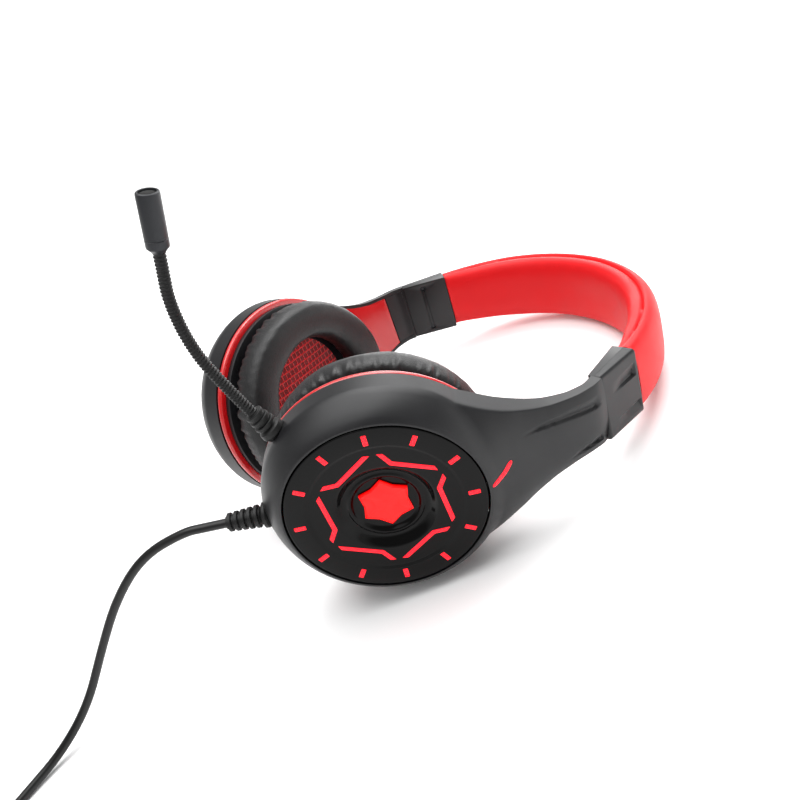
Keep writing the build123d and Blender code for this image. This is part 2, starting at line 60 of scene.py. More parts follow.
MM = 0.001
LIE = math.radians(11.55)
LEAN = math.radians(26.0)
TOE = math.radians(5.7)
ORIGIN = (0.0, -48.7, 47.6)
CUP_APART = 97.4
SEAM_MID = (81.15, 81.9)
CAP_MID = (72.9, 103.6)
ARM_AHEAD = 3.1


class Side(Enum):
    """The wearer's side that a cup is on."""

    LEFT = 1
    RIGHT = -1

    def node(self, name: str) -> str:
        """The name of this side's CAD node or piece."""
        return f"{self.name.lower()}_{name}"

    @property
    def body(self) -> str:
        """The CAD body that this side's cup belongs to."""
        return f"{self.name.lower()}_cup"


def way(left: float, front: float, crown: float) -> np.ndarray:
    """A direction given as left, front and crown of the worn headset, in the row frame."""
    y = front * math.sin(LIE) + crown * math.cos(LIE)
    z = front * math.cos(LIE) - crown * math.sin(LIE)
    return np.array((left, y, z))


def spot(left: float, front: float, crown: float) -> np.ndarray:
    """A place given in the worn headset's terms, in the row frame, in millimetres."""
    return np.array(ORIGIN) + way(left, front, crown)


@dataclass(frozen=True)
class Axes:
    """A place with three directions; points are given as (a, b, c) along them, in millimetres."""

    centre: np.ndarray
    a: np.ndarray
    b: np.ndarray
    c: np.ndarray

    def at(self, points: np.ndarray) -> np.ndarray:
        """Row-frame points in metres.

        Args:
            points: one or more points along the three directions, shape (..., 3).
        Returns:
            The same points in the row frame, in metres.
        """
        points = np.asarray(points, float)
        return (self.centre + points @ np.stack((self.a, self.b, self.c))) * MM

    def vector(self, points: np.ndarray) -> np.ndarray:
        """Directions in the row frame, unscaled."""
        return np.asarray(points, float) @ np.stack((self.a, self.b, self.c))


def cup_axes(side: Side) -> Axes:
    """The axes of one cup: ahead, up, out."""
    s = side.value
    out = way(s * math.cos(LEAN) * math.cos(TOE), -math.cos(LEAN) * math.sin(TOE), -math.sin(LEAN))
    up = way(s * math.sin(LEAN) * math.cos(TOE), -math.sin(LEAN) * math.sin(TOE), math.cos(LEAN))
    ahead = way(s * math.sin(TOE), math.cos(TOE), 0)
    return Axes(spot(s * CUP_APART / 2, 0, 0), ahead, up, out)


def slider_axes(side: Side) -> Axes:
    """The axes of one slider at the arm's seam: across, up into the cap, outwards."""
    rise = np.array((CAP_MID[0] - SEAM_MID[0], CAP_MID[1] - SEAM_MID[1]))
    rise = rise / np.linalg.norm(rise)
    upward = way(side.value * rise[0], 0, rise[1])
    outward = way(side.value * rise[1], 0, -rise[0])
    return Axes(spot(side.value * SEAM_MID[0], 0, SEAM_MID[1]), way(0, 1, 0), upward, outward)


# ---------------------------------------------------------------- meshes


def smooth_line(points: Sequence[Sequence[float]], count: int) -> np.ndarray:
    """Evenly spaced samples of a Catmull-Rom curve through the points."""
    p = np.asarray(points, float)
    p = np.vstack((2 * p[0] - p[1], p, 2 * p[-1] - p[-2]))
    fine = []
    for a, b, c, d in zip(p, p[1:], p[2:], p[3:]):
        t = np.linspace(0, 1, 40, endpoint=False)[:, None]
        fine.append(0.5 * (2 * b + (c - a) * t + (2 * a - 5 * b + 4 * c - d) * t**2
                           + (3 * b - a - 3 * c + d) * t**3))
    fine = np.vstack((*fine, p[-2]))
    reach = np.concatenate(([0], np.cumsum(np.linalg.norm(np.diff(fine, axis=0), axis=1))))
    where = np.linspace(0, reach[-1], count)
    return np.stack([np.interp(where, reach, fine[:, k]) for k in range(fine.shape[1])], axis=1)


def grid_faces(rows: int, cols: int, wrap_rows: bool = False, wrap_cols: bool = False) -> list:
    """Quads of a grid whose vertices are stored row by row."""
    faces = []
    for i in range(rows if wrap_rows else rows - 1):
        for j in range(cols if wrap_cols else cols - 1):
            i2, j2 = (i + 1) % rows, (j + 1) % cols
            faces.append((i * cols + j, i2 * cols + j, i2 * cols + j2, i * cols + j2))
    return faces


def make_object(name: str, verts: np.ndarray, faces: list, sharp: float = 35.0) -> bpy.types.Object:
    """A closed or open mesh as an object at the origin, normals recalculated.

    Args:
        name: the piece's name.
        verts: points in metres.
        faces: vertex indices.
        sharp: edges turned further than this many degrees are shaded hard.
    Returns:
        The linked object.
    """
    mesh = bpy.data.meshes.new(name)
    mesh.from_pydata([tuple(v) for v in np.asarray(verts).reshape(-1, 3)], [], faces)
    tidy_mesh(mesh, sharp)
    obj = bpy.data.objects.new(name, mesh)
    bpy.context.scene.collection.objects.link(obj)
    return obj


def tidy_mesh(mesh: bpy.types.Mesh, sharp: float = 35.0) -> None:
    """Merges doubles, turns faces outwards and shades smooth below an angle."""
    bm = bmesh.new()
    bm.from_mesh(mesh)
    bmesh.ops.remove_doubles(bm, verts=bm.verts, dist=2e-6)
    bmesh.ops.recalc_face_normals(bm, faces=bm.faces)
    bm.to_mesh(mesh)
    bm.free()
    mesh.shade_smooth()
    mesh.set_sharp_from_angle(angle=math.radians(sharp))


def lathe(name: str, axes: Axes, profile: Sequence[Sequence[float]], segments: int = 144,
          sharp: float = 35.0) -> bpy.types.Object:
    """A closed profile of (radius, height) points turned about the axes' third direction."""
    loop = np.asarray(profile, float)
    turn = np.linspace(0, 2 * math.pi, segments, endpoint=False)
    verts = np.stack([np.outer(np.cos(turn), loop[:, 0]), np.outer(np.sin(turn), loop[:, 0]),
                      np.tile(loop[:, 1], (segments, 1))], axis=-1)
    faces = grid_faces(segments, len(loop), True, True)
    return make_object(name, axes.at(verts), faces, sharp)


def sweep(name: str, path: np.ndarray, radius: Callable[[np.ndarray, np.ndarray], np.ndarray],
          sides: int = 24, sharp: float = 60.0) -> bpy.types.Object:
    """A closed tube along a path.

    Args:
        name: the piece's name.
        path: points in metres.
        radius: gives the radius in metres from (length along in metres, angle round).
        sides: points round the tube.
        sharp: shading limit in degrees.
    Returns:
        The linked object.
    """
    reach = np.concatenate(([0], np.cumsum(np.linalg.norm(np.diff(path, axis=0), axis=1))))
    along = np.gradient(path, axis=0)
    along /= np.linalg.norm(along, axis=1)[:, None]
    first = np.cross(along[0], (0.31, 0.52, 0.79))
    first /= np.linalg.norm(first)
    angles = np.linspace(0, 2 * math.pi, sides, endpoint=False)
    rings = []
    for k, point in enumerate(path):
        first = first - along[k] * (first @ along[k])
        first /= np.linalg.norm(first)
        second = np.cross(along[k], first)
        r = radius(np.full(sides, reach[k]), angles)[:, None]
        rings.append(point + r * (np.cos(angles)[:, None] * first + np.sin(angles)[:, None] * second))
    verts = np.vstack((*rings, path[0], path[-1]))
    faces = grid_faces(len(path), sides, False, True)
    low, high, last = len(verts) - 2, len(verts) - 1, (len(path) - 1) * sides
    for j in range(sides):
        faces.append((low, (j + 1) % sides, j))
        faces.append((high, last + j, last + (j + 1) % sides))
    return make_object(name, verts, faces, sharp)


def join(pieces: Sequence[bpy.types.Object], name: str) -> bpy.types.Object:
    """Joins meshes that sit at the origin into one object of the given name."""
    bm = bmesh.new()
    mats: list = []
    for piece in pieces:
        start = len(bm.faces)
        bm.from_mesh(piece.data)
        bm.faces.ensure_lookup_table()
        own = [m for m in piece.data.materials]
        for face in bm.faces[start:]:
            mat = own[face.material_index] if own else None
            if mat not in mats:
                mats.append(mat)
            face.material_index = mats.index(mat)
    mesh = bpy.data.meshes.new(name)
    bm.to_mesh(mesh)
    bm.free()
    for mat in mats:
        mesh.materials.append(mat)
    for piece in pieces:
        bpy.data.objects.remove(piece)
    obj = bpy.data.objects.new(name, mesh)
    bpy.context.scene.collection.objects.link(obj)
    return obj


def apply_modifiers(obj: bpy.types.Object) -> None:
    """Replaces the mesh by its evaluated one and removes the modifiers."""
    depsgraph = bpy.context.evaluated_depsgraph_get()
    mesh = bpy.data.meshes.new_from_object(obj.evaluated_get(depsgraph))
    obj.modifiers.clear()
    obj.data = mesh


def bevel(obj: bpy.types.Object, width: float, segments: int = 2, angle: float = 40.0) -> None:
    """Rounds the edges of a closed mesh by a live modifier, width in millimetres."""
    mod = obj.modifiers.new("rounded_edges", "BEVEL")
    mod.width, mod.segments = width * MM, segments
    mod.limit_method, mod.angle_limit = "ANGLE", math.radians(angle)
    mod.harden_normals = False


def soften_node(node: str, width: float, material: bpy.types.Material) -> bpy.types.Object:
    """Rounds and dresses a CAD node by modifiers only, leaving its mesh alone."""
    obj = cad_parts[node]
    weld = obj.modifiers.new("joined_triangles", "WELD")
    weld.merge_threshold = 1e-6
    bevel(obj, width, 2, 40)
    tree_smooth(obj)
    obj.data.materials.clear()
    obj.data.materials.append(material)
    return obj


def tree_smooth(obj: bpy.types.Object) -> None:
    """Shades an object smooth below 40 degrees, by a small node tree after its other modifiers."""
    group = bpy.data.node_groups.get("shade_by_angle")
    if group is None:
        group = bpy.data.node_groups.new("shade_by_angle", "GeometryNodeTree")
        group.interface.new_socket("Geometry", in_out="INPUT", socket_type="NodeSocketGeometry")
        group.interface.new_socket("Geometry", in_out="OUTPUT", socket_type="NodeSocketGeometry")
        start = add(group, "NodeGroupInput")
        angle = add(group, "GeometryNodeInputMeshEdgeAngle")
        flat = add(group, "ShaderNodeMath", {0: angle.outputs[0], 1: math.radians(40)}, operation="LESS_THAN")
        faces = add(group, "GeometryNodeSetShadeSmooth", {"Geometry": start.outputs[0]}, domain="FACE")
        edges = add(group, "GeometryNodeSetShadeSmooth",
                    {"Geometry": faces.outputs[0], "Shade Smooth": flat.outputs[0]}, domain="EDGE")
        add(group, "NodeGroupOutput", {0: edges.outputs[0]})
    obj.modifiers.new("shade_by_angle", "NODES").node_group = group


# ---------------------------------------------------------------- finishes


def add(tree: bpy.types.NodeTree, kind: str, inputs: Optional[dict] = None, **settings) -> bpy.types.Node:
    """Adds one node with its settings, its input values and its links.

    Args:
        tree: the node tree.
        kind: the node's type name.
        inputs: socket name or number to a value or to another node's output.
        settings: the node's own properties.
    Returns:
        The new node.
    """
    node = tree.nodes.new(kind)
    for key, value in settings.items():
        setattr(node, key, value)
    for key, value in (inputs or {}).items():
        socket = node.inputs[key]
        if isinstance(value, bpy.types.NodeSocket):
            tree.links.new(value, socket)
        else:
            socket.default_value = value
    return node


def linear(code: str) -> tuple:
    """A linear colour with alpha 1 from an sRGB hex value."""
    channels = [int(code[k:k + 2], 16) / 255 for k in (1, 3, 5)]
    return (*[c / 12.92 if c <= 0.04045 else ((c + 0.055) / 1.055) ** 2.4 for c in channels], 1.0)


def blank(name: str) -> tuple:
    """A new material with its tree and its shader."""
    material = bpy.data.materials.new(name)
    material.use_nodes = True
    tree = material.node_tree
    return material, tree, tree.nodes["Principled BSDF"]


@dataclass(frozen=True)
class Moulded:
    """A moulded or coated skin: a colour that drifts a little, a fine grain and uneven gloss."""

    name: str
    dark: str
    light: str
    rough: float
    rough_spread: float = 0.08
    grain_mm: float = 0.5
    grain_height_mm: float = 0.01
    drift_mm: float = 18.0
    ior: float = 1.5
    level: float = 0.5
    metallic: float = 0.0
    coat: float = 0.0
    sheen: float = 0.0

    def build(self) -> bpy.types.Material:
        """The finish as a node material."""
        material, tree, shader = blank(self.name)
        place = add(tree, "ShaderNodeTexCoord").outputs["Object"]
        drift = add(tree, "ShaderNodeTexNoise",
                    {"Vector": place, "Scale": 1000 / self.drift_mm, "Detail": 3.0})
        grain = add(tree, "ShaderNodeTexNoise",
                    {"Vector": place, "Scale": 1000 / self.grain_mm, "Detail": 2.0})
        tint = add(tree, "ShaderNodeMix", {"Factor": drift.outputs["Fac"], 6: linear(self.dark),
                                           7: linear(self.light)}, data_type="RGBA")
        gloss = add(tree, "ShaderNodeMapRange",
                    {"Value": drift.outputs["Fac"], "From Min": 0.3, "From Max": 0.7,
                     "To Min": max(0.02, self.rough - self.rough_spread / 2),
                     "To Max": self.rough + self.rough_spread / 2})
        bump = add(tree, "ShaderNodeBump", {"Height": grain.outputs["Fac"], "Strength": 0.6,
                                            "Distance": self.grain_height_mm * MM})
        tree.links.new(tint.outputs[2], shader.inputs["Base Color"])
        tree.links.new(gloss.outputs[0], shader.inputs["Roughness"])
        tree.links.new(bump.outputs[0], shader.inputs["Normal"])
        shader.inputs["IOR"].default_value = self.ior
        shader.inputs["Specular IOR Level"].default_value = self.level
        shader.inputs["Metallic"].default_value = self.metallic
        shader.inputs["Coat Weight"].default_value = self.coat
        shader.inputs["Coat Roughness"].default_value = 0.06
        shader.inputs["Sheen Weight"].default_value = self.sheen
        return material


@dataclass(frozen=True)
class Leatherette:
    """Protein leatherette over foam: pebbled grain with finer pores between the pebbles."""

    name: str
    colour: str
    pebble_mm: float
    height_mm: float
    rough: float

    def build(self) -> bpy.types.Material:
        """The finish as a node material."""
        material, tree, shader = blank(self.name)
        place = add(tree, "ShaderNodeTexCoord").outputs["Object"]
        wobble = add(tree, "ShaderNodeTexNoise", {"Vector": place, "Scale": 260.0, "Detail": 2.0})
        pebbles = add(tree, "ShaderNodeTexVoronoi", {"Vector": place, "Scale": 1000 / self.pebble_mm},
                      feature="DISTANCE_TO_EDGE")
        edge = add(tree, "ShaderNodeMapRange", {"Value": pebbles.outputs["Distance"], "From Max": 0.18})
        height = add(tree, "ShaderNodeMath", {0: edge.outputs[0], 1: wobble.outputs["Fac"]},
                     operation="ADD")
        shade = add(tree, "ShaderNodeMix", {"Factor": wobble.outputs["Fac"], 6: linear(self.colour),
                                            7: tuple(c * 1.5 for c in linear(self.colour)[:3]) + (1.0,)},
                    data_type="RGBA")
        gloss = add(tree, "ShaderNodeMapRange", {"Value": edge.outputs[0], "To Min": self.rough + 0.12,
                                                 "To Max": self.rough})
        bump = add(tree, "ShaderNodeBump", {"Height": height.outputs[0], "Strength": 0.55,
                                            "Distance": self.height_mm * MM})
        tree.links.new(shade.outputs[2], shader.inputs["Base Color"])
        tree.links.new(gloss.outputs[0], shader.inputs["Roughness"])
        tree.links.new(bump.outputs[0], shader.inputs["Normal"])
        shader.inputs["Specular IOR Level"].default_value = 0.42
        return material


@dataclass(frozen=True)
class LitLens:
    """Clear red acrylic with lamps behind it: its glow mottled between two reds, a little milky."""

    name: str
    core: str
    rim: str
    strength: float
    mottle_mm: float

    def build(self) -> bpy.types.Material:
        """The finish as a node material."""
        material, tree, shader = blank(self.name)
        place = add(tree, "ShaderNodeTexCoord").outputs["Object"]
        mottle = add(tree, "ShaderNodeTexNoise", {"Vector": place, "Scale": 1000 / self.mottle_mm,
                                                  "Detail": 1.0})
        glow = add(tree, "ShaderNodeMix", {"Factor": mottle.outputs["Fac"], 6: linear(self.rim),
                                           7: linear(self.core)}, data_type="RGBA")
        tree.links.new(glow.outputs[2], shader.inputs["Emission Color"])
        tree.links.new(glow.outputs[2], shader.inputs["Base Color"])
        shader.inputs["Emission Strength"].default_value = self.strength
        shader.inputs["Roughness"].default_value = 0.3
        shader.inputs["IOR"].default_value = 1.49
        shader.inputs["Specular IOR Level"].default_value = 0.3
        return material


@dataclass(frozen=True)
class MeshCloth:
    """Knitted spacer cloth with rows of open cells, drawn by the piece's own flat map in millimetres."""

    name: str
    yarn: str
    hole: str
    pitch_mm: float

    def build(self) -> bpy.types.Material:
        """The finish as a node material."""
        material, tree, shader = blank(self.name)
        flat = add(tree, "ShaderNodeUVMap", uv_map="flat").outputs[0]
        spread = add(tree, "ShaderNodeMapping", {"Vector": flat, "Scale": (1000 / self.pitch_mm,
                                                                          760 / self.pitch_mm, 1.0)})
        cells = add(tree, "ShaderNodeTexBrick",
                    {"Vector": spread.outputs[0], "Color1": (0, 0, 0, 1), "Color2": (0, 0, 0, 1),
                     "Mortar": (1, 1, 1, 1), "Scale": 1.0, "Mortar Size": 0.16, "Mortar Smooth": 0.7,
                     "Brick Width": 1.0, "Row Height": 0.9}, offset=0.5)
        fuzz = add(tree, "ShaderNodeTexNoise", {"Vector": flat, "Scale": 2600.0, "Detail": 2.0})
        height = add(tree, "ShaderNodeMath", {0: cells.outputs["Color"], 1: fuzz.outputs["Fac"]},
                     operation="ADD")
        shade = add(tree, "ShaderNodeMix", {"Factor": cells.outputs["Color"], 6: linear(self.hole),
                                            7: linear(self.yarn)}, data_type="RGBA")
        bump = add(tree, "ShaderNodeBump", {"Height": height.outputs[0], "Strength": 0.8,
                                            "Distance": 0.5 * MM})
        tree.links.new(shade.outputs[2], shader.inputs["Base Color"])
        tree.links.new(bump.outputs[0], shader.inputs["Normal"])
        shader.inputs["Roughness"].default_value = 0.75
        shader.inputs["Sheen Weight"].default_value = 0.3
        return material


@dataclass(frozen=True)
class Metal:
    """A metal with fine drawing lines along one direction."""

    name: str
    colour: str
    rough: float
    line_mm: float = 0.3
    metallic: float = 1.0

    def build(self) -> bpy.types.Material:
        """The finish as a node material."""
        material, tree, shader = blank(self.name)
        place = add(tree, "ShaderNodeTexCoord").outputs["Object"]
        stretched = add(tree, "ShaderNodeMapping", {"Vector": place, "Scale": (1.0, 0.06, 1.0)})
        lines = add(tree, "ShaderNodeTexNoise", {"Vector": stretched.outputs[0],
                                                 "Scale": 1000 / self.line_mm, "Detail": 3.0})
        gloss = add(tree, "ShaderNodeMapRange", {"Value": lines.outputs["Fac"], "To Min": self.rough - 0.08,
                                                 "To Max": self.rough + 0.1})
        shade = add(tree, "ShaderNodeMix", {"Factor": lines.outputs["Fac"],
                                            6: tuple(c * 0.75 for c in linear(self.colour)[:3]) + (1.0,),
                                            7: linear(self.colour)}, data_type="RGBA")
        tree.links.new(shade.outputs[2], shader.inputs["Base Color"])
        tree.links.new(gloss.outputs[0], shader.inputs["Roughness"])
        shader.inputs["Metallic"].default_value = self.metallic
        return material


FINISHES = (
    Moulded("satin_black_abs", "#0b0b0d", "#101013", 0.42, 0.10, 0.45, 0.012, level=0.42),
    Moulded("piano_black_plate", "#020202", "#040404", 0.12, 0.04, 3.0, 0.003, level=0.14),
    Moulded("gloss_red_trim", "#b8070d", "#c90c12", 0.22, 0.08, 2.0, 0.003, coat=0.6),
    Moulded("soft_red_skin", "#d3060e", "#de0a13", 0.50, 0.10, 0.6, 0.02, level=0.3),
    Moulded("flexible_black_rubber", "#070707", "#0c0c0c", 0.50, 0.12, 0.5, 0.015, level=0.35),
    Moulded("cable_jacket", "#060606", "#0a0a0a", 0.36, 0.08, 0.6, 0.006, level=0.35),
    Moulded("painted_mic_tube", "#222326", "#2a2b2e", 0.36, 0.08, 0.4, 0.012, metallic=0.5),
    Moulded("acoustic_foam", "#070707", "#0e0e0e", 0.9, 0.05, 0.5, 0.25),
    Moulded("speaker_frame_abs", "#17171a", "#202024", 0.5),
    Moulded("speaker_film", "#55565a", "#6b6c70", 0.35),
    Moulded("glass_fibre_board", "#0c3a1c", "#14502a", 0.45),
    Moulded("enamelled_copper", "#7a3716", "#97481f", 0.35, metallic=0.8),
    Moulded("ferrite_magnet", "#2b2c2f", "#3b3c40", 0.5, metallic=0.4),
    Leatherette("black_leatherette", "#0c0c0d", 1.1, 0.08, 0.40),
    LitLens("lit_red_bars", "#ff1428", "#f20a1e", 1.0, 3.0),
    LitLens("lit_red_star", "#ff0a08", "#d80000", 0.85, 7.0),
    MeshCloth("red_spacer_cloth", "#f00c16", "#8c0509", 2.6),
    Metal("spring_steel", "#a2a4a8", 0.32),
    Metal("black_oxide_steel", "#3a3b3d", 0.42),
    Metal("nickel_plate", "#c9cacd", 0.22),
)


def finish_set() -> dict:
    """Every finish as a material, by name."""
    return {finish.name: finish.build() for finish in FINISHES}


def dress(obj: bpy.types.Object, material: bpy.types.Material) -> bpy.types.Object:
    """Gives the whole piece one material."""
    obj.data.materials.clear()
    obj.data.materials.append(material)
    return obj


def settle(obj: bpy.types.Object, body: str, nodes: Sequence[str]) -> bpy.types.Object:
    """Puts a finished piece on its body in place of its CAD nodes."""
    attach(obj, body)
    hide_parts(*nodes)
    LOG.info("%s on %s, %d faces", obj.name, body, len(obj.data.polygons))
    return obj


# ---------------------------------------------------------------- node-tree repeats


def ring_row_tree() -> bpy.types.NodeTree:
    """A row of round collars along +Z, each a little smaller than the last."""
    tree = bpy.data.node_groups.new("row_of_collars", "GeometryNodeTree")
    for name, kind in (("Count", "NodeSocketInt"), ("Step", "NodeSocketFloat"), ("Radius", "NodeSocketFloat"),
                       ("Height", "NodeSocketFloat"), ("Shrink", "NodeSocketFloat"),
                       ("Finish", "NodeSocketMaterial")):
        tree.interface.new_socket(name, in_out="INPUT", socket_type=kind)
    tree.interface.new_socket("Geometry", in_out="OUTPUT", socket_type="NodeSocketGeometry")
    given = add(tree, "NodeGroupInput").outputs
    step = add(tree, "ShaderNodeCombineXYZ", {"Z": given["Step"]})
    line = add(tree, "GeometryNodeMeshLine", {"Count": given["Count"], "Offset": step.outputs[0]})
    collar = add(tree, "GeometryNodeMeshCylinder", {"Vertices": 40, "Side Segments": 1, "Fill Segments": 1,
                                                    "Radius": given["Radius"], "Depth": given["Height"]})
    index = add(tree, "GeometryNodeInputIndex")
    less = add(tree, "ShaderNodeMath", {0: index.outputs[0], 1: given["Shrink"]}, operation="MULTIPLY")
    size = add(tree, "ShaderNodeMath", {0: 1.0, 1: less.outputs[0]}, operation="SUBTRACT")
    scale = add(tree, "ShaderNodeCombineXYZ", {"X": size.outputs[0], "Y": size.outputs[0], "Z": 1.0})
    copies = add(tree, "GeometryNodeInstanceOnPoints", {"Points": line.outputs[0],
                                                        "Instance": collar.outputs[0],
                                                        "Scale": scale.outputs[0]})
    real = add(tree, "GeometryNodeRealizeInstances", {0: copies.outputs[0]})
    done = add(tree, "GeometryNodeSetMaterial", {"Geometry": real.outputs[0], "Material": given["Finish"]})
    add(tree, "NodeGroupOutput", {0: done.outputs[0]})
    return tree


def spoke_tree() -> bpy.types.NodeTree:
    """Equal bars set round a circle in the XY plane, their length pointing at its centre."""
    tree = bpy.data.node_groups.new("bars_round_a_circle", "GeometryNodeTree")
    for name, kind in (("Count", "NodeSocketInt"), ("Radius", "NodeSocketFloat"), ("Bar", "NodeSocketVector"),
                       ("Finish", "NodeSocketMaterial")):
        tree.interface.new_socket(name, in_out="INPUT", socket_type=kind)
    tree.interface.new_socket("Geometry", in_out="OUTPUT", socket_type="NodeSocketGeometry")
    given = add(tree, "NodeGroupInput").outputs
    points = add(tree, "GeometryNodeMeshCircle", {"Vertices": given["Count"], "Radius": given["Radius"]})
    bar = add(tree, "GeometryNodeMeshCube", {"Size": given["Bar"]})
    index = add(tree, "GeometryNodeInputIndex")
    share = add(tree, "ShaderNodeMath", {0: index.outputs[0], 1: given["Count"]}, operation="DIVIDE")
    angle = add(tree, "ShaderNodeMath", {0: share.outputs[0], 1: 2 * math.pi}, operation="MULTIPLY")
    turn = add(tree, "ShaderNodeCombineXYZ", {"Z": angle.outputs[0]})
    copies = add(tree, "GeometryNodeInstanceOnPoints", {"Points": points.outputs[0],
                                                        "Instance": bar.outputs[0],
                                                        "Rotation": turn.outputs[0]})
    real = add(tree, "GeometryNodeRealizeInstances", {0: copies.outputs[0]})
    done = add(tree, "GeometryNodeSetMaterial", {"Geometry": real.outputs[0], "Material": given["Finish"]})
    add(tree, "NodeGroupOutput", {0: done.outputs[0]})
    return tree


def grown(name: str, tree: bpy.types.NodeTree, values: dict, axes: Axes) -> bpy.types.Object:
    """Runs a node tree and returns its result as a plain mesh set on the axes.

    Args:
        name: the piece's name.
        tree: the node tree to run.
        values: the tree's inputs by name.
        axes: where the tree's own X, Y and Z lie.
    Returns:
        The plain mesh object.
    """
    obj = bpy.data.objects.new(name, bpy.data.meshes.new(name))
    bpy.context.scene.collection.objects.link(obj)
    mod = obj.modifiers.new("grown", "NODES")
    mod.node_group = tree
    for item in tree.interface.items_tree:
        if item.in_out == "INPUT" and item.name in values:
            mod[item.identifier] = values[item.name]
    apply_modifiers(obj)
    turn = Matrix([[*axes.a, 0], [*axes.b, 0], [*axes.c, 0], [0, 0, 0, 1]]).transposed()
    obj.data.transform(Matrix.Translation(Vector(axes.centre * MM)) @ turn)
    tidy_mesh(obj.data)
    return obj


# ---------------------------------------------------------------- cups


def scoop(ahead: np.ndarray, up: np.ndarray, start: tuple, end: tuple, narrow: float, broad: float,
          deep: float) -> np.ndarray:
    """Depth of a recess that drops steeply at a ridge and slopes back up away from it.

    Args:
        ahead: position across the arm.
        up: position along the arm.
        start: the ridge's shallow end (up, ahead).
        end: the ridge's deep end (up, ahead).
        narrow: how far the recess spreads from the ridge at its start, negative for backwards.
        broad: the same at its end.
        deep: the depth at its end.
    Returns:
        The depth at each point.
    """
    t = np.clip((up - start[0]) / (end[0] - start[0]), 0, 1)
    away = (ahead - (start[1] + (end[1] - start[1]) * t)) / (narrow + (broad - narrow) * t)
    shape = np.clip(away / 0.14, 0, 1) * np.clip((1 - away) / 0.7, 0, 1)
    shape = shape * np.clip((up - start[0]) / 6.0, 0, 1) * np.clip((end[0] - up) / 0.7, 0, 1)
    return deep * (0.35 + 0.65 * t) * shape


